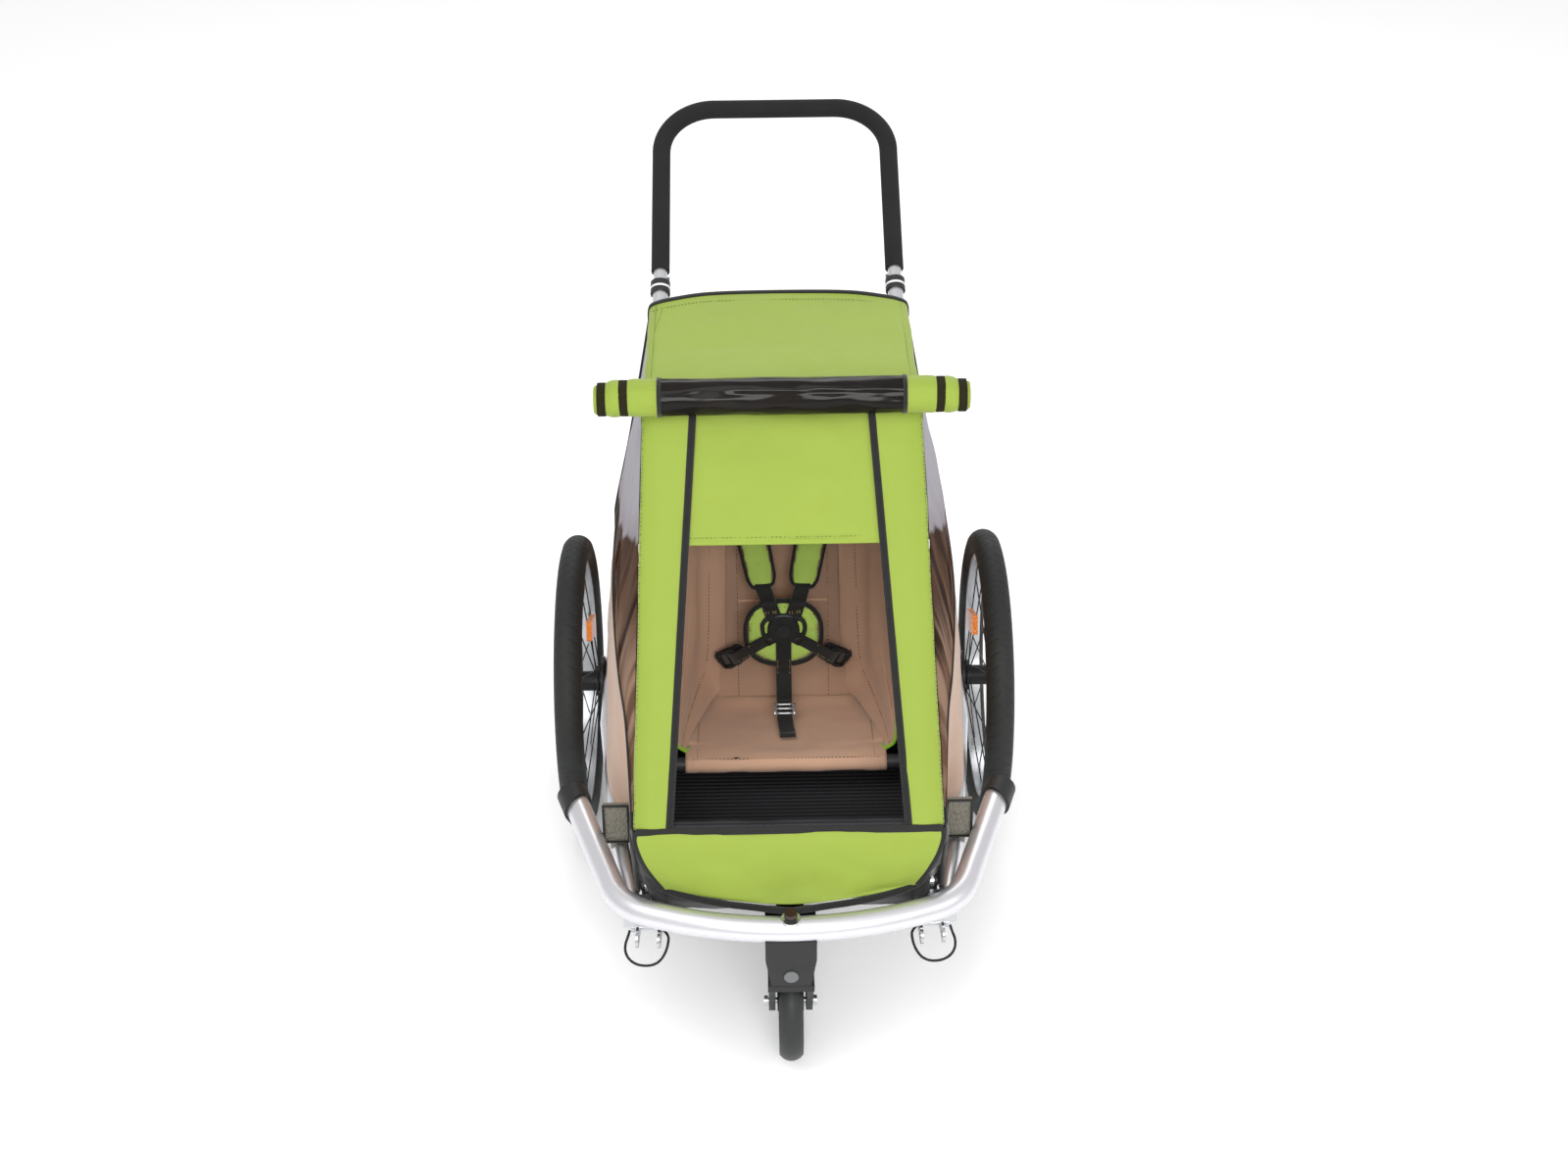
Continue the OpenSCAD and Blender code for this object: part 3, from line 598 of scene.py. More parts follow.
def cage_blend(*pieces):
    """Cloth between the chassis and the folding cage."""
    for o in pieces:
        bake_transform(o)


def rest_blend(*pieces, low=360):
    """The backrest and what hangs on it. The argument low, in millimetres, is not used."""
    for o in pieces:
        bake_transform(o)


# Nose cover: from the knees down behind the bumper, its hem drawn forward to the hook.
NOSE_TOP = [at(221 * j / 6, -564 + 2 * abs(j / 6) ** 3, 408 - 3 * (j / 6) ** 2) for j in range(-6, 7)]


def nose_row(z, half, y, corner):
    """A row across the nose cover whose corners sweep back by corner."""
    return [at(half * j / 6, y + corner * abs(j / 6) ** 3, z + 12 * abs(j / 6) ** 4 * (408 - z) / 104)
            for j in range(-6, 7)]


NOSE = patch([NOSE_TOP, nose_row(392, 222, -577, 6), nose_row(362, 214, -590, 12), nose_row(332, 200, -602, 20),
              [at(184 * j / 6, -618 + 32 * abs(j / 6) ** 1.6, 313 + 5 * abs(j / 6) ** 2) for j in range(-6, 7)]])
nose = panel("nose_cover", NOSE, 40, 90, COVER, wrinkle=0.004, scale=11,
             stands_for=["nose_panel"])
nose_trim = sweep("nose_top_binding", moved(edge(NOSE, "v", 0.0), 0, -0.0012, 0.001),
                  vec(0, -0.35, -0.94), 0.012, 0.0032, EDGING)
nose_side = joined("nose_side_bindings",
                   [sweep("a", edge(NOSE, "u", v), ACROSS, 0.007, 0.003, EDGING) for v in (0.0, 1.0)])
half_hem = ((14, -637, 320), (50, -622, 312), (120, -606, 311), (186, -583, 317), (206, -560, 334))
hem_path = smooth_path([at(-x, y, z) for x, y, z in half_hem[::-1]] + [at(0, -642, 323)] + [at(*p) for p in half_hem],
                       8)
hem = sweep("nose_elastic_hem", hem_path, vec(0, 0.3, 0.95), 0.011, 0.0045, EDGING)
riding("cage", nose, nose_trim, nose_side, hem)
loop_path = [at(7.6 * cos(a), -655 + 7.6 * sin(a) + 9 * max(0, sin(a) - 0.6), 323.6)
             for a in turns(40)]
loop = sweep("hem_hook_loop", loop_path, UP, 0.003, 0.003, EDGING, closed=True, power=1.0)
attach(loop, "base")

# Black gussets beside the nose, and the black apron that closes the front below its hem.
for side, tag in SIDES:
    inner = [NOSE(u, 0.0 if side < 0 else 1.0) + vec(-side * 0.002, 0.003, 0)
             for u in (0.02, 0.3, 0.65, 1.0)] + [at(side * 178, -590, 290)]
    outer = [at(side * x, y, z) for x, y, z in ((227, -548, 404), (230, -545, 372), (229, -545, 340), (227, -548, 312),
                                                (224, -552, 290))]
    rows = [[a, a.lerp(b, 0.35) + vec(side * 0.003, -0.003, 0), a.lerp(b, 0.7) + vec(side * 0.002, -0.002, 0), b]
            for a, b in zip(inner, outer)]
    gusset = panel(f"nose_gusset_{tag}", patch(rows), 40, 24, STRAP, wrinkle=0.005, scale=20)
    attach(gusset, "cage")
top_edge = [smooth_path(hem_path, 1)[k] for k in range(0, len(hem_path), 8)]
apron_rows = [moved(top_edge, 0, 0.002, -0.001),
              [vec(p.x * 0.99, p.y * 0.5 + (AXLE_Y - 0.592) * 0.5 + 0.003, 0.296) for p in top_edge],
              [vec(p.x * 0.97, AXLE_Y - 0.584, 0.278) for p in top_edge]]
apron = panel("nose_apron", patch(apron_rows), 16, 80, STRAP, wrinkle=0.003, scale=16)
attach(apron, "cage")

# Green strips either side of the front window, with their zip bindings.
TOOTH = ((0, 1, 3, 2), (4, 6, 7, 5), (0, 4, 5, 1), (2, 3, 7, 6), (1, 5, 7, 3))
for side, tag in SIDES:
    rows = []
    for k in range(7):
        u = 3 + (SLOPE_L + 3) * k / 6
        a, b = 172 - 41 * k / 6, 222 - 19 * k / 6
        crown = [on_slope(side * (a + (b - a) * j / 4), u, LIFT + (1.5, 3.0, 3.0, 1.2, -5.5)[j]) for j in range(5)]
        crown.append(on_slope(side * (b + 2.5), u, LIFT - 17))
        rows.append(crown)
    STRIP = patch(rows)
    strip = panel(f"window_strip_{tag}", STRIP, 90, 22, COVER, wrinkle=0.0016, scale=13,
                  stands_for=["window_surround"] if side < 0 else ())
    inner = moved(edge(STRIP, "u", 0.0, 60), *SLOPE_OUT * 0.0016)
    zip_parts = [sweep(f"zip_tape_{tag}", inner, ACROSS, 0.011, 0.0024, EDGING)]
    teeth_v, teeth_f = [], []
    fine = smooth_path(inner, 6)
    run = 0.0
    for a, b in zip(fine, fine[1:]):
        run += (b - a).length
        if run < 0.003:
            continue
        run = 0.0
        t = (b - a).normalized()
        teeth_f += [tuple(len(teeth_v) + k for k in face) for face in TOOTH]
        teeth_v += [b + ACROSS * sx * 0.0016 + t * st * 0.0008 + SLOPE_OUT * (0.001 + sh * 0.0012)
                    for sx in (-1, 1) for st in (-1, 1) for sh in (0, 1)]
    zip_parts.append(mesh_object(f"teeth_{tag}", teeth_v, teeth_f, MATS["black_plastic"], False))
    window_zip = joined(f"window_zip_{tag}", zip_parts)
    seam = stitches(f"strip_stitches_{tag}", moved(edge(STRIP, "u", 0.8, 60), side * 0.0012, 0, 0.0012), DARK_THREAD)
    riding("cage", strip, window_zip, seam)

# Sunshade: hangs from the roll between the strips to a soft lower edge.
rows = []
for k in range(7):
    u = SLOPE_L + 6 - 190 * k / 6
    a = 176 - 44 * u / SLOPE_L
    rows.append([on_slope(a * j / 6, u, LIFT - 1.5 + 3.5 * sin(pi * k / 6) * (1 - (j / 6) ** 2)
                          - (2.5 * (1 - (j / 6) ** 2) if k == 6 else 0)) for j in range(-6, 7)])
SHADE = patch(rows)
shade_sheet = panel("sunshade_cloth", SHADE, 50, 80, COVER, wrinkle=0.0045, scale=8,
                    stands_for=["sunshade"])
shade_hem = sweep("sunshade_hem", [p - SLOPE_OUT * 0.0004 for p in edge(SHADE, "v", 1.0)], vec(0, SLOPE[0], SLOPE[1]),
                  0.009, 0.003, COVER)
hem_seam = stitches("sunshade_stitches", [p + SLOPE_OUT * 0.0013 for p in edge(SHADE, "v", 0.955)], DARK_THREAD)
riding("cage", shade_sheet, shade_hem, hem_seam)

# Roof: crowned cloth over the cage's top, its sides turned down round the tubes.
EAVES = [(206, 832), (208, 852), (205, 867), (192, 874.2), (170, 876), (110, 878)]
rows = []
for k in range(9):
    t = k / 8
    sag = 6 * sin(pi * t)
    row = []
    for x, z in [(-x, z) for x, z in EAVES] + [(0, 880)] + EAVES[::-1]:
        corner = max(0, min(1, (abs(x) - 120) / 70))
        y = -158 + (357 - 26 * corner) * t
        if abs(x) < 192:
            z += 4 * corner * t ** 6 - sag * (1 - (x / 192) ** 2)
        elif abs(x) < 207:
            z += 3 * t ** 6
        row.append(at(x, y, z))
    rows.append(row)
ROOF = patch(rows)
roof = panel("roof_cloth", ROOF, 70, 120, COVER, wrinkle=0.0024, scale=9, stands_for=["roof_panel"])
rear_pipe = sweep("roof_rear_piping", moved(edge(ROOF, "v", 1.0, 70), 0, 0.0015, 0.0008), vec(0, 1, 0), 0.009, 0.006,
                  EDGING)
roof_seams = []
for side in (-1, 1):
    roof_seams.append(stitches(f"a{side}", moved(edge(ROOF, "u", 0.5 + side * 0.268), 0, 0, 0.0012), DARK_THREAD))
    corner = moved([ROOF(0.74 + 0.011 * k, 0.5 + side * (0.262 - 0.00275 * k)) for k in range(21)], 0, 0, 0.0012)
    roof_seams.append(stitches(f"b{side}", corner, DARK_THREAD))
roof_seams.append(stitches("c", moved(edge(ROOF, "v", 0.93)[8:-8], 0, 0, 0.0012), DARK_THREAD))
riding("cage", roof, rear_pipe, joined("roof_stitches", roof_seams))


# ---------- rolled rain cover ----------
def vinyl():
    """Clear vinyl rolled on itself: dark, glossy and crinkled."""
    m = Mat("rolled_vinyl", 0.12, spec=0.12)
    m.colour(m.mix(m.noise(12, 5), lin(10, 9, 9), lin(40, 36, 33)))
    m.bump(m.noise(7, 2, m.scaled((0.7, 2.2, 2.2))), 0.035, 0.6)
    m.rough_between(0.07, 0.2, m.noise(20, 3))
    return m.m


VINYL = vinyl()
OLIVE_MAT = cloth("olive_band", OLIVE, 0.9, 0.0012, 0.0003, sheen=0.0)


def roll_ring(x, r, flat=1.0, shift=0.0, n=56):
    """One cross-section of the roll: a lap line near the front and the cloth's own unevenness."""
    out = []
    for a in turns(n):
        turn = (a / (2 * pi) + 0.62) % 1
        rr = r * (0.955 + 0.045 * turn)
        wob = noise.fractal(vec(x * 9, cos(a) * 1.1, sin(a) * 1.1), 1.0, 2.0, 3)
        rr += 0.0016 * wob
        out.append(vec(x, ROLL.y + rr * cos(a), ROLL.z + shift + rr * flat * sin(a)))
    return out


def roll_piece(name, stations, material):
    """A tube through roll_ring(*station) for each station."""
    rings = [roll_ring(*s) for s in stations]
    return outward(mesh_object(name, [p for r in rings for p in r], quads(len(rings), len(rings[0])), material))


VINYL_R, ROLL_R, ROLL_OVAL, DROOP = 0.0279, 0.0287, 0.97, -0.0035
roll_parts = [roll_piece("vinyl", [(x * MM, VINYL_R) for x in range(-181, 182, 3)], VINYL)]
for side in (-1, 1):
    ends = []
    for x in range(176, 274, 3):
        t = max(0, (x - 182) / 90)
        pinch = 1 - 0.10 * exp(-((x - 230) / 7) ** 2) - 0.14 * exp(-((x - 262) / 9) ** 2) - 0.20 * t ** 6
        ends.append((side * x * MM, ROLL_R * pinch, ROLL_OVAL, DROOP * t * t))
    roll_parts.append(roll_piece("end", ends, COVER))
    for centre, width in ((230, 16), (263, 13)):
        t = (centre - 182) / 90
        pinch = 1 - (0.10 if centre == 230 else 0.17)
        profile = ((-0.5, 0.93), (-0.47, 1.05), (-0.2, 1.06), (0.2, 1.06), (0.47, 1.05), (0.5, 0.93))
        roll_parts.append(roll_piece("band",
                                     [(side * (centre + width * q) * MM, ROLL_R * pinch * s, ROLL_OVAL, DROOP * t * t)
                                      for q, s in profile], OLIVE_MAT))
    spiral = []
    for k, a in enumerate(turns(22, 110)):
        r = 0.0215 * (1 - k / 118)
        spiral.append(vec(side * (0.2705 - 0.0022 * (k / 110)), ROLL.y + r * cos(a),
                          ROLL.z + DROOP + r * 0.95 * sin(a)))
    roll_parts.append(sweep("turns", spiral, ACROSS, 0.008, 0.0022, COVER, 8))
    roll_parts.append(sweep("edge", roll_ring(side * 0.179, 0.0293, 0.98, n=60), ACROSS, 0.006, 0.0016, EDGING, 8,
                            closed=True))
    roll_parts.append(stitches("st", roll_ring(side * 0.1845, 0.0299, 0.98, n=60), THREAD, 0.005, 0.003))
rolled = joined("rolled_rain_cover", roll_parts)
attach(rolled, "cage")
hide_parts("rolled_cover")


# ---------- sides, back, floor and lining ----------
def foil():
    """Glossy window foil: a painted pale reflection towards the roof, with painted dark brown reflection streaks and
    its own ripples below.
    """
    m = Mat("side_foil", 0.3, spec=0.0)
    wander = m.math("MULTIPLY", m.math("SUBTRACT", m.noise(7, 4, m.scaled((1, 2.4, 0.7))), 0.5), 0.07)
    lean = m.math("MULTIPLY", m.place("Y"), 0.45)
    z = m.math("ADD", m.math("ADD", m.place("Z"), lean), wander, clamp=True)
    # Painted reflection: the streaks and the pale grey band from height 0.63 up stand in for the room mirrored in the
    # foil.
    streaks = m.ramp(m.noise(1, 4, m.scaled((6, 40, 2))), [(0.42, (0, 0, 0, 1)), (0.58, (1, 1, 1, 1))])
    dark = m.ramp(z, [(0.40, lin(96, 70, 54)), (0.45, lin(46, 28, 18)), (0.52, lin(40, 25, 16)),
                      (0.622, lin(52, 33, 22)), (0.63, lin(140, 134, 140)), (0.68, lin(158, 155, 162)),
                      (0.85, lin(166, 163, 170))])
    pale = m.ramp(z, [(0.44, lin(150, 122, 104)), (0.52, lin(104, 78, 62)), (0.622, lin(80, 56, 42)),
                      (0.63, lin(148, 142, 148)), (0.85, lin(170, 168, 175))])
    m.colour(m.mix(m.math("MULTIPLY", streaks, 0.75), dark, pale))
    m.bump(m.noise(9, 3), 0.005, 0.5)
    m.rough_between(0.18, 0.36, m.noise(12, 3))
    m.put("Coat Weight", 0.07)
    m.put("Coat Roughness", 0.08)
    return m.m


FOIL = foil()


def split(v):
    """Where the lower cloth meets the window foil, from the rear (v = 0) to the front."""
    return 0.66 + 0.15 * v


for side, tag in SIDES:
    grid = [
        [(289, 345, 289), (289, 80, 289), (287, -150, 289), (274, -330, 289), (232.5, -431, 289), (222, -556, 289)],
        [(296, 343, 299), (293, 80, 299), (290, -150, 299), (274, -330, 299), (233, -431, 298), (223, -560, 300)],
        [(293, 322, 376), (290, 70, 372), (285, -150, 370), (268, -330, 362), (233, -431, 350), (224, -561, 340)],
        [(286, 300, 430), (285, 60, 440), (279, -150, 440), (262, -330, 425), (234, -431, 400), (226, -562, 380)],
        [(251, 247, 600), (253, 50, 640), (250, -190, 640), (243, -330, 560), (235, -420, 500), (226, -544, 402)],
        [(208, 199, 833), (209, 50, 833), (209, -120, 833), (212, -226, 770), (216, -330, 655), (226, -528, 416)],
    ]
    grid = [[at(side * x, y, z) for x, y, z in row] for row in grid]
    SIDE = patch(grid)
    low = panel(f"side_cloth_{tag}", lambda u, v: SIDE(u * split(v), v), 34, 90, MATS["side_brown"], wrinkle=0.003,
                scale=10, stands_for=[f"side_panel_{tag}"])
    high = panel(f"side_window_{tag}", lambda u, v: SIDE(split(v) + u * (1 - split(v)), v), 38, 90, FOIL,
                 wrinkle=0.0035, scale=6)
    seam = sweep(f"side_seam_{tag}", moved(edge(lambda u, v: SIDE(split(u), u), "u", 0.0, 70), side * 0.0016, 0, 0),
                 UP, 0.010, 0.0026, EDGING)
    binds = [sweep(f"side_{end}_binding_{tag}", moved(edge(SIDE, "u", v, 60), side * 0.001, -out * 0.001, 0),
                   vec(side, out, 0), 0.009, 0.003, EDGING) for end, v, out in (("front", 1.0, 1), ("rear", 0.0, -1))]
    cage_blend(low, high, seam, *binds)

rows = [[at(x * k, y, z) for k in (-1, -0.6, 0, 0.6, 1)] for x, y, z in
        ((294, 350, 297), (288, 317, 400), (273, 287, 480), (247, 250, 600), (223, 221, 730), (203, 202, 838),
         (196, 196, 868))]
for i, row in enumerate(rows):
    row[2] += vec(0, 0.007 * sin(pi * i / 6), 0)
BACK = patch(rows)
back = panel("back_cloth", BACK, 60, 60, MATS["side_brown"], wrinkle=0.004, scale=8,
             stands_for=["back_wall"])
cage_blend(back)
BACK_SPLIT = 0.52
back_trim = joined("back_seams", [
    sweep("a", moved(edge(BACK, "v", BACK_SPLIT), 0, 0.002, 0), vec(0, -0.4, 0.9), 0.012, 0.003, EDGING),
    *[sweep("b", moved(edge(lambda u, v: BACK(BACK_SPLIT + 0.46 * u, v), "u", v), 0, 0.002, 0), ACROSS, 0.010, 0.003,
            EDGING)
      for v in (0.24, 0.76)],
    stitches("d", moved(edge(BACK, "v", 0.54), 0, 0.0035, 0.004), DARK_THREAD)])
cage_blend(back_trim)


def mesh_cloth():
    """Black ribbed mesh cloth."""
    m = Mat("ribbed_mesh", 0.75, spec=0.25)
    rise = m.math("ADD", m.place("Y"), m.place("Z"))
    rows = m.math("SINE", m.math("MULTIPLY", rise, 2 * pi / 0.0085))
    dashes = m.math("SINE", m.math("MULTIPLY", m.place("X"), 2 * pi / 0.011))
    ribs = m.math("ADD", m.math("MULTIPLY", rows, 0.38), m.math("MULTIPLY", m.math("MULTIPLY", dashes, rows), 0.12))
    ribs = m.math("ADD", ribs, 0.5, clamp=True)
    m.colour(m.mix(ribs, lin(27, 26, 28), lin(58, 57, 60)))
    m.bump(ribs, 0.0010, 0.8)
    m.bump(m.noise(700, 2), 0.0003, 0.5)
    return m.m


RIBBED = mesh_cloth()


def pocket(u, v):
    """A flat net pocket sewn to the back cloth: u down from its elastic top, v across."""
    p = BACK(0.30 - 0.27 * u, 0.26 + 0.48 * v)
    belly = sin(pi * v) ** 0.6 * (0.011 * (1 - u) + 0.004 * sin(pi * u))
    gather = 0.0012 * sin(v * 90) * max(0, 1 - u * 3)
    return p + vec(0, 0.0035 + belly + gather, -0.004 * sin(pi * v) * (1 - u))


bag = panel("back_pocket", pocket, 36, 110, RIBBED, wrinkle=0.001, scale=14)
bag_hem = sweep("back_pocket_hem", edge(pocket, "v", 0.0, 90), UP, 0.014, 0.0035, EDGING)
cage_blend(bag, bag_hem)


rows = [[at(x * k, y, 265.5 + (2.5 if abs(k) == 1 else 0)) for k in (-1, -0.5, 0, 0.5, 1)] for x, y in
        ((214, -545), (240, -432), (258, -290), (274, -152), (274, 80), (274, 318))]
floor_cloth = panel("floor_cloth", patch(rows), 70, 40, RIBBED, wrinkle=0.0012, scale=12,
                    stands_for=["floor_panel"])
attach(floor_cloth, "base")
rows = [[at(x * k, y + 4 * k * k, z) for k in (-1, -0.5, 0, 0.5, 1)] for x, y, z in
        ((214, -548, 268), (208, -542, 320), (205, -536, 372), (206, -537, 398), (208, -543, 409.5), (210, -556, 413),
         (210, -568, 407))]
front_lining = panel("footwell_lining", patch(rows), 30, 50, RIBBED, wrinkle=0.003, scale=12)
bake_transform(front_lining)
for side, tag in SIDES:
    rows = [[at(side * x, y, 268) for x, y in ((206, -540), (222, -430), (258, -320), (267, -150), (268, 60))],
            [at(side * x, y, 330) for x, y in ((208, -536), (220, -430), (254, -320), (271, -150), (275, 50))],
            [at(side * x, y, z) for x, y, z in ((205, -540, 398), (219, -430, 400), (246, -320, 420), (264, -160, 430),
                                                (270, 40, 430))]]
    lining = panel(f"side_lining_{tag}", patch(rows), 20, 50, MATS["floor_black"], wrinkle=0.003, scale=9)
    cage_blend(lining)

# ---------- seat ----------
FRONT = (-315, 325)
OVER_TUBE = 13.0
pan_path = [(-300, 317)]
for a in range(-185, 91, 20):
    pan_path.append((FRONT[0] - OVER_TUBE * cos(radians(a)), FRONT[1] + OVER_TUBE * sin(radians(a))))
pan_path += [(-300, 337.6), (-280, 334), (-255, 329), (-215, 320), (-178, 312), (-150, 306), (-128, 303.5),
             (-108, 304), (-101, 309)]


def pan(u, v):
    """The sling over the front tube and back along the seat: u from front to back, v across."""
    p = spline([vec(0, a, b) for a, b in pan_path], u)
    x = (v - 0.5) * 2
    dip = 7 * sin(pi * max(0, (u - 0.6) / 0.4)) * (1 - x * x)
    return at(157 * x, p.y, p.z - dip + (4 * x ** 6 if u > 0.7 else 0))


seat = panel("seat_sling", pan, 110, 70, SEAT_CLOTH, wrinkle=0.0022, scale=16,
             stands_for=["seat_pan"])
rows = [moved([pan(u, 0.035 + 0.93 * k / 50) for k in range(51)], 0, back, 0.0012)
        for u, back in ((0.33, -0.001), (0.60, 0))]
rows += [moved([pan(0.33 + 0.27 * k / 20, v) for k in range(21)], 0, -0.0007, 0.001) for v in (0.035, 0.965)]
rows += [moved([pan(0.62 + 0.36 * k / 30, v) for k in range(31)], 0, 0, 0.0013) for v in (0.06, 0.94)]
riding("base", seat, joined("seat_stitches", [stitches("s", row, BROWN_THREAD) for row in rows]))

# Painted shade: the backrest and wings use darker copies of the seat brown for the shade deep inside the seat.
REST_PAINTED_SHADE_BROWN = cloth("rest_brown_painted_shade", shade(SEAT_BROWN_PAINTED_LIGHT, 0.62), 0.8, crumple=0.003, amount=0.12)
WING_PAINTED_SHADE_BROWN = cloth("wing_brown_painted_shade", shade(SEAT_BROWN_PAINTED_LIGHT, 0.88), 0.8, crumple=0.003, amount=0.1)
CREASE = (-118, 302)
BACK_A = radians(65)


def on_back(x, s, h=0.0):
    """Across x, s up the backrest from the seat's crease and h out from it."""
    return at(x, CREASE[0] + cos(BACK_A) * s - sin(BACK_A) * h, CREASE[1] + sin(BACK_A) * s + cos(BACK_A) * h)


BACK_OUT = vec(0, -sin(BACK_A), cos(BACK_A))
BACK_UP = vec(0, cos(BACK_A), sin(BACK_A))
rows = [[on_back(144 * k, s, h - dip * (1 - k * k)) for k in (-1, -0.66, -0.33, 0, 0.33, 0.66, 1)] for s, h, dip in
        ((2, 3, 0), (60, -2, 7), (120, -5, 9), (190, -5, 10), (250, -4, 9), (320, -1, 8), (380, 0, 6), (440, 0, 3),
         (478, 0, 1))]
REST = patch(rows)
rest = panel("seat_rest", REST, 80, 60, REST_PAINTED_SHADE_BROWN, wrinkle=0.0028, scale=13,
             stands_for=["seat_back"])
rest_seams = [stitches("s", moved(edge(REST, "u", v, 60), *BACK_OUT * 0.0015), BROWN_THREAD) for v in (0.24, 0.76)]
for u in (0.32, 0.71):
    rest_seams.append(sweep("s", moved(edge(lambda a, b: REST(a, 0.24 + 0.52 * b), "v", u), *BACK_OUT * 0.001),
                            BACK_UP, 0.004, 0.002, SEAT_CLOTH))
rest_seams = joined("seat_rest_seams", rest_seams)
rest_blend(rest, rest_seams)

for side, tag in SIDES:
    grid = [
        [(157, -301, 340), (146, -240, 331), (121, -150, 316), (99, -98, 326), (93, -44, 468), (92, 14, 608),
         (92, 53, 702)],
        [(169, -302, 352), (166, -243, 361), (157, -165, 376), (146, -112, 412), (141, -62, 512), (136, -12, 621),
         (133, 22, 707)],
        [(173, -296, 371), (176, -240, 401), (179, -180, 441), (179, -120, 485), (174, -76, 551), (168, -34, 631),
         (163, -6, 711)],
    ]
    WING = patch([[at(side * x, y, z) for x, y, z in row] for row in grid])
    folds = lambda u, v, w=WING, s=side: w(u, v) + vec(-s * 0.0045 * sin(2 * pi * (2.2 * u + 0.15 * sin(5 * v)))
                                                       * sin(pi * u) * sin(pi * min(1, 0.12 + v)), 0, 0)
    wing = panel(f"seat_wing_{tag}", folds, 60, 90, WING_PAINTED_SHADE_BROWN, wrinkle=0.0034, scale=11,
                 stands_for=["seat_wings"] if side < 0 else ())
    seams = [stitches("w", moved(edge(WING, "v", u, 70), -side * 0.0016, 0, 0), BROWN_THREAD) for u in (0.3, 0.88)]
    seams.append(sweep("w", moved(edge(WING, "v", 0.6, 70), -side * 0.0008, 0, 0), UP, 0.0045, 0.0022,
                       SEAT_CLOTH))
    seams = joined(f"wing_seams_{tag}", seams)
    front = [WING(u / 12, 0.0) for u in range(13)] + [WING(1.0, v / 40) for v in range(1, 16)]
    piping = sweep(f"wing_piping_{tag}", smooth_path([front[0] + vec(-side * 0.006, 0.02, -0.008)] + front, 2),
                   vec(side, 0, 0), 0.0055, 0.0055, GREEN_PIPE, power=1.0)
    edge_hem = sweep(f"wing_hem_{tag}", edge(lambda u, v: WING(u, 0.37 + 0.63 * v), "v", 1.0), vec(0, 0.7, 0.7), 0.008,
                     0.004, SEAT_CLOTH)
    rest_blend(wing, seams, piping, edge_hem)


# ---------- padded pieces ----------
def inflate(o, pressure=4.0, cap=0.006, voxel=0.004, frames=14):
    """Swells a closed mesh by a short cloth simulation, no point moving further than cap."""
    apply(o, "REMESH", mode="VOXEL", voxel_size=voxel)
    before = [v.co.copy() for v in o.data.vertices]
    scene = bpy.context.scene
    mod = o.modifiers.new("swell", "CLOTH")
    for setting, value in (("use_pressure", True), ("uniform_pressure_force", pressure), ("quality", 5),
                           ("tension_stiffness", 15), ("bending_stiffness", 0.5)):
        setattr(mod.settings, setting, value)
    mod.settings.effector_weights.gravity = 0
    mod.point_cache.frame_start, mod.point_cache.frame_end = 1, frames
    for f in range(1, frames + 1):
        scene.frame_set(f)
    evaluated = o.evaluated_get(bpy.context.evaluated_depsgraph_get())
    me = bpy.data.meshes.new_from_object(evaluated)
    o.modifiers.clear()
    scene.frame_set(1)
    for v, b in zip(me.vertices, before):
        d = v.co - b
        if d.length > cap:
            v.co = b + d * (cap / d.length)
    o.data = me
    apply(o, "SMOOTH", factor=0.5, iterations=4)
    apply(o, "SUBSURF", levels=1, render_levels=1)
    return o


def pillow(name, outline, out, thick, crown, material, n=7):
    """A closed thin solid over an outline of points, crowned towards out."""
    c = sum(outline, Vector()) / len(outline)
    verts, faces = [], []
    m = len(outline)
    for face in (1, -1):
        for i in range(n):
            t = 1 - i / n
            for p in outline:
                h = crown * (1 - t * t) if face > 0 else 0
                verts.append(c.lerp(p, t) + out * (h + face * thick / 2))
        verts.append(c + out * ((crown if face > 0 else 0) + face * thick / 2))
    top = n * m + 1
    for base in (0, top):
        faces += quads(n, m, start=base)
        faces += [(base + (n - 1) * m + k, base + (n - 1) * m + (k + 1) % m, base + n * m) for k in range(m)]
    faces += [(k, (k + 1) % m, top + (k + 1) % m, top + k) for k in range(m)]
    return outward(mesh_object(name, verts, faces, material))


PAD_C = at(0, -120, 445)
PAD_A = radians(80)
PAD_OUT = vec(0, -sin(PAD_A), cos(PAD_A))
PAD_UP = vec(0, cos(PAD_A), sin(PAD_A))


def on_pad(x, up, h=0.0):
    """A point over the belly pad, in millimetres from its centre."""
    return PAD_C + ACROSS * (x * MM) + PAD_UP * (up * MM) + PAD_OUT * (h * MM)


STRAP_W = 0.025
HARNESS_GREEN = cloth("harness_green", lin(184, 214, 100), 0.8, 0.0016, 0.0004, 0.0006)


def shield(a, grow, h):
    """A point on the belly pad's rounded outline, grown by some millimetres."""
    c, d = cos(a), sin(a)
    return on_pad((59 + grow) * squared(c, 0.8), -10 + (54 + grow) * squared(d, 0.8), h)


disc = pillow("belly_pad", [shield(a, 0, -1) for a in turns(72)], PAD_OUT, 0.006, 0.001, HARNESS_GREEN)
inflate(disc, cap=0.004)
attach(disc, "base")
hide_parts("harness")
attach(joined("belly_pad_trim", [
    sweep("a", [shield(a, 2.5, -0.5) for a in turns(96)], PAD_OUT, 0.009, 0.007, EDGING, 10, closed=True),
    stitches("b", [shield(a, -6, 5.2) for a in turns(90, 91)], DARK_THREAD)]), "base")

def pad_half(q, widest):
    """Half a shoulder pad's width at q of its length, with rounded ends."""
    return (widest - 0.006 * q) * min(1, 0.55 + 0.45 * sqrt(min(1, 8 * min(q, 1 - q) + 0.02)))


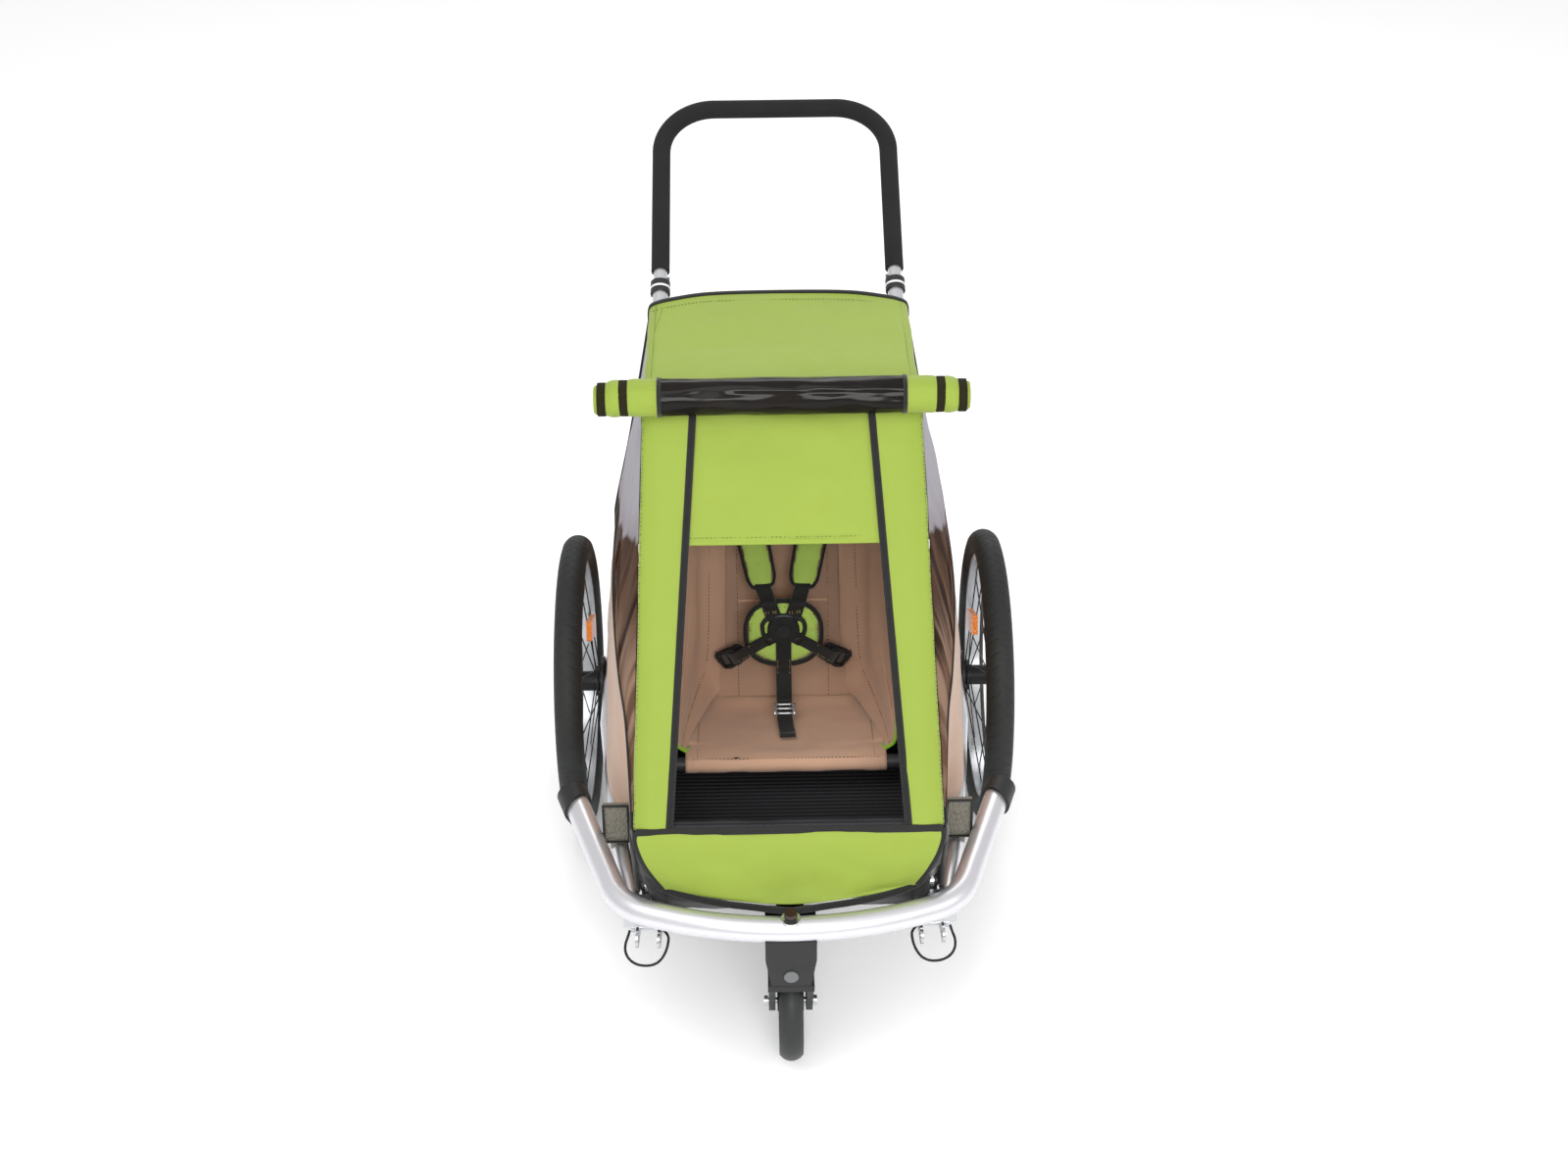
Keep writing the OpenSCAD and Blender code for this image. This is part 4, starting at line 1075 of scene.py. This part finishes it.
for side, tag in SIDES:
    line = smooth_path([on_back(side * x, up, h)
                        for x, up, h in ((68, 425, 7), (64, 380, 8), (58, 330, 11), (50, 280, 18),
                                         (42, 240, 27), (36, 212, 39), (32, 193, 51))], 6)
    n, m = len(line), 16
    outs, verts = [], []
    for i, p in enumerate(line):
        t = (line[min(i + 1, n - 1)] - line[max(i - 1, 0)]).normalized()
        across = (ACROSS - t * ACROSS.dot(t)).normalized()
        out = across.cross(t) * (1 if across.cross(t).y < 0 else -1)
        outs.append((across, out))
        verts += [p + across * (pad_half(i / (n - 1), 0.0265) * squared(cos(a), 0.5))
                  + out * (0.0032 * squared(sin(a), 0.7)) for a in turns(m)]
    pad = outward(mesh_object(f"shoulder_pad_{tag}", verts, quads(n, m) + caps(n, m), HARNESS_GREEN))
    inflate(pad, cap=0.0035, voxel=0.0035)
    rim = [[p + outs[i][0] * pad_half(i / (n - 1), 0.0275) * sign for i, p in enumerate(line)] for sign in (-1, 1)]
    facing = [out for across, out in outs]
    strap_line = [line[-2] + outs[-2][1] * 0.002, line[-1] + outs[-1][1] * 0.002, on_pad(side * 24, 50, 9),
                  on_pad(side * 19, 34, 11), on_pad(side * 14, 20, 12)]
    webs = [sweep("a", rim[0] + rim[1][::-1], facing + facing[::-1], 0.009, 0.005, EDGING, 10, closed=True),
            sweep("b", smooth_path(strap_line, 8), ACROSS, STRAP_W, 0.0022, STRAP)]
    for up in (31, 34):
        webs.append(stitches("d", [on_pad(side * 19 + q, up + q * 0.12, 13) for q in (-10, -5, 0, 5, 10)], THREAD,
                             0.004, 0.0022))
    webs = joined(f"shoulder_strap_{tag}", webs)
    rest_blend(pad, webs, low=480)

straps = []
for side in (-1, 1):
    hip = [on_pad(side * 14, -12, 11), on_pad(side * 36, -24, 9.5), on_pad(side * 57, -38, 7),
           on_pad(side * 76, -52, 2), at(side * 91, -117, 381), at(side * 101, -104, 371), at(side * 110, -82, 362)]
    line = smooth_path(hip, 8)
    straps.append(sweep("a", line, vec(0.35 * side, -0.2, 1), STRAP_W, 0.0024, STRAP))
    straps.append(sweep("b", moved(line[14:34], 0, -0.0035, 0.002), vec(0.35 * side, -0.2, 1), STRAP_W, 0.002,
                        STRAP))
    for q in (-0.009, 0.009):
        straps.append(stitches("c", moved(line[15:24], 0, -0.0048, 0.002 + q), THREAD, 0.004, 0.0026))
    bars = [([(k, q, -0.004) for k in (-0.012, -0.004, 0.004, 0.012)], 0.006) for q in (-0.013, 0.013)]
    bars += [([(k, q, -0.0045) for q in (-0.014, -0.005, 0.005, 0.014)], 0.0055) for k in (-0.012, 0.0, 0.012)]
    for bar, width in bars:
        path = [line[30] + vec(side * (k + q * 0.4), y, 0.003 + q - k * 0.35) for k, q, y in bar]
        straps.append(sweep("d", path, vec(0, 1, 0), width, 0.0035, MATS["black_plastic"], 8))
crotch = smooth_path([on_pad(0, -18, 12), on_pad(0, -40, 11), on_pad(0, -62, 6), at(0, -136, 366), at(0, -160, 342),
                      at(0, -190, 331), at(0, -214, 329)], 8)
straps.append(sweep("f", crotch, ACROSS, STRAP_W, 0.0026, STRAP))
tail = smooth_path([at(0, -176, 339), at(0, -200, 334.5), at(1, -224, 331), at(3, -244, 331), at(4, -262, 333)], 8)
straps.append(sweep("g", tail, ACROSS, STRAP_W, 0.0022, STRAP))
straps.append(sweep("h", moved(tail[-6:], 0, -0.0002, 0.001), ACROSS, 0.026, 0.0045, STRAP))
for q in (-0.0095, 0.0095):
    straps.append(stitches("i", moved(crotch[14:26], q, -0.002, 0.0016), THREAD, 0.004, 0.0026))
web = joined("harness_webbing", straps)
WIRE = 0.0042
wires = [([at(x, y, z) for x in (-15, -7, 0, 7, 15)], vec(0, 1, 0))
         for y, z in ((-184, 337), (-193, 335.5), (-203, 333.8))]
wires += [([at(x, y, z) for y, z in ((-182, 337.4), (-190, 336), (-198, 334.8), (-205, 333.4))], ACROSS)
          for x in (-15.5, 15.5)]
slider = joined("strap_slider", [sweep("a", path, way, WIRE, WIRE, MATS["satin_alloy"], 10) for path, way in wires])
riding("base", web, slider)
for side, tag in SIDES:
    c = at(side * 84, -110, 377)
    along, wide = vec(side * 0.81, 0.1, -0.58), vec(side * 0.58, 0, 0.81)
    outline = [c + along * (0.028 * squared(cos(a), 0.35)) + wide * (0.021 * squared(sin(a), 0.35))
               for a in turns(40)]
    hip_pad = pillow(f"hip_pad_{tag}", moved(outline, 0, 0.004, 0), vec(0, -1, 0), 0.006, 0.001, STRAP)
    inflate(hip_pad, cap=0.004)
    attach(hip_pad, "base")

# Buckle body: a rounded shell round its button, with the strap tongues entering it.
rings = [(14.5, 9.2), (19, 13.6), (23.4, 15.2), (25.6, 12.5), (26.2, 8.2), (25.8, 4.6)]
verts, m = [], 64
for r, h in rings:
    for a in turns(m):
        lobe = 1 + 0.05 * max(0, cos(2.5 * (a + pi / 2)) ** 2 - 0.5) * (r / 26)
        verts.append(on_pad(r * lobe * cos(a), r * lobe * sin(a), h))
shell = outward(mesh_object("shell", verts, quads(len(rings), m), MATS["buckle_grey"]))
apply(shell, "SUBSURF", levels=1, render_levels=1)
tongues = [shell]
for a in (55, 125, 215, 270, 325):
    c, d = cos(radians(a)), sin(radians(a))
    path = [on_pad(c * r, d * r, 9.5) for r in (20, 25, 30, 35)]
    tongues.append(sweep("t", path, ACROSS * -d + PAD_UP * c, 0.021, 0.006, MATS["black_plastic"], 12, power=0.4))
corners = ((-34, 9), (-24, 21), (0, 24), (24, 21), (34, 9), (31, -10), (14, -19), (-14, -19), (-31, -10), (-34, 9))
frame_line = smooth_path([on_pad(x, up, 8.5) for x, up in corners], 5)[:-1]
tongues.append(sweep("t", frame_line, PAD_OUT, 0.009, 0.007, MATS["buckle_grey"], 10, closed=True, power=0.5))
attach(joined("buckle_shell", tongues), "base")


# ---------- safety pin tethers ----------
TOE = (cos(radians(4)), sin(radians(4)))
TETHER = [(29.3, 18, -1), (32, 13, -9), (35, 4, -16), (34, -5, -23), (28, -12, -30), (18, -16, -35), (6, -17, -37),
          (-6, -16, -36),
          (-16, -12, -32), (-23, -5, -25), (-27, 4, -17), (-28, 13, -9), (-25, 18, -5), (-20.3, 22, -2.6)]
for side, tag in SIDES:
    points = [at(side * (208 + x * TOE[0] - y * TOE[1]), -612 + x * TOE[1] + y * TOE[0], 242 + z) for x, y, z in TETHER]
    path = smooth_path(points, 4)
    o = sweep(f"tether_{tag}", path, [vec(0.2, 1, 0.3)] * len(path), 0.004, 0.004, MATS["tether_black"], 10, power=1.0)
    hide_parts(f"pin_tether_{tag}")
    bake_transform(o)


# ---------- small details ----------
def box_frame(name, c, half, rot, depth, material, wall=0.0035):
    """A bevelled frame with an open middle."""
    bm = bmesh.new()
    hx, hz = half
    outer = [(-hx, -hz), (hx, -hz), (hx, hz), (-hx, hz)]
    inner = [(-hx + wall, -hz + wall), (hx - wall, -hz + wall), (hx - wall, hz - wall), (-hx + wall, hz - wall)]
    rings = ((outer, 0), (outer, -depth), (inner, -depth * 1.25), (inner, -depth * 0.2))
    vs = [[bm.verts.new((x, y, z)) for x, z in ring] for ring, y in rings]
    for a, b in zip(vs, vs[1:]):
        for k in range(4):
            bm.faces.new((a[k], a[(k + 1) % 4], b[(k + 1) % 4], b[k]))
    bmesh.ops.bevel(bm, geom=list(bm.edges), offset=0.0007, segments=2, affect="EDGES")
    bm.transform(Matrix.Translation(c) @ rot)
    me = bpy.data.meshes.new(name)
    bm.to_mesh(me)
    bm.free()
    o = bpy.data.objects.new(name, me)
    bpy.context.scene.collection.objects.link(o)
    me.materials.append(material)
    return outward(o)


for side, tag in SIDES:
    rot = Matrix.Rotation(radians(-12), 4, "X")
    c = at(side * 259, -450, 290) + rot.to_3x3() @ vec(0, -0.0038, 0.0315)
    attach(box_frame(f"reflector_frame_{tag}", c, (0.0205, 0.0325), rot, 0.0028, MATS["grey_plastic"]), "base")

# ---------- room, lights and camera ----------
scene = bpy.context.scene
floor_mat = Mat("studio_floor", 0.85, spec=0.1)
floor_mat.mottled(lin(250, 250, 250), 0.004, 2)
floor_mat.put("Emission Color", (1, 1, 1, 1))
floor_mat.put("Emission Strength", 0.16)
n = 48
verts = [(-9 + 18 * j / n, -9 + 18 * i / n, -0.0005) for i in range(n + 1) for j in range(n + 1)]
mesh_object("studio_floor", verts, quads(n + 1, n + 1, wrap_cols=False), floor_mat.m, False)

world = bpy.data.worlds.new("studio")
scene.world = world
world.use_nodes = True
for socket, value in (("Color", (1, 1, 1, 1)), ("Strength", 0.75)):
    world.node_tree.nodes["Background"].inputs[socket].default_value = value


def area(name, place, target, size, power):
    light = bpy.data.lights.new(name, "AREA")
    light.shape = "RECTANGLE"
    light.size, light.size_y = size
    light.energy = power
    o = bpy.data.objects.new(name, light)
    scene.collection.objects.link(o)
    o.location = place
    o.rotation_euler = (Vector(target) - Vector(place)).to_track_quat("-Z", "Y").to_euler()


area("key", (-1.0, -1.6, 3.6), (0, 0, 0.5), (2.6, 2.2), 44)
area("front", (0.3, -3.6, 2.6), (0, -0.1, 0.45), (1.6, 1.2), 62)
area("fill", (2.6, -1.8, 2.4), (0, 0, 0.5), (2.0, 2.0), 18)
area("back", (0.4, 3.0, 2.8), (0, 0, 0.6), (2.4, 1.6), 30)

cam = bpy.data.cameras.new("camera")
cam.lens = 45.95
cam.sensor_width = 36.0
cam.clip_end = 40
camera = bpy.data.objects.new("camera", cam)
scene.collection.objects.link(camera)
scene.camera = camera
camera.location = at(-35.7, -2720.5, 2342.7)
yaw, down, tilt = radians(0.82), radians(35), radians(-0.43)
look = vec(sin(yaw) * cos(down), cos(yaw) * cos(down), -sin(down))
camera.rotation_mode = "QUATERNION"
camera.rotation_quaternion = look.to_track_quat("-Z", "Y") @ Matrix.Rotation(tilt, 4, "Z").to_quaternion()
scene.view_settings.view_transform = "Standard"
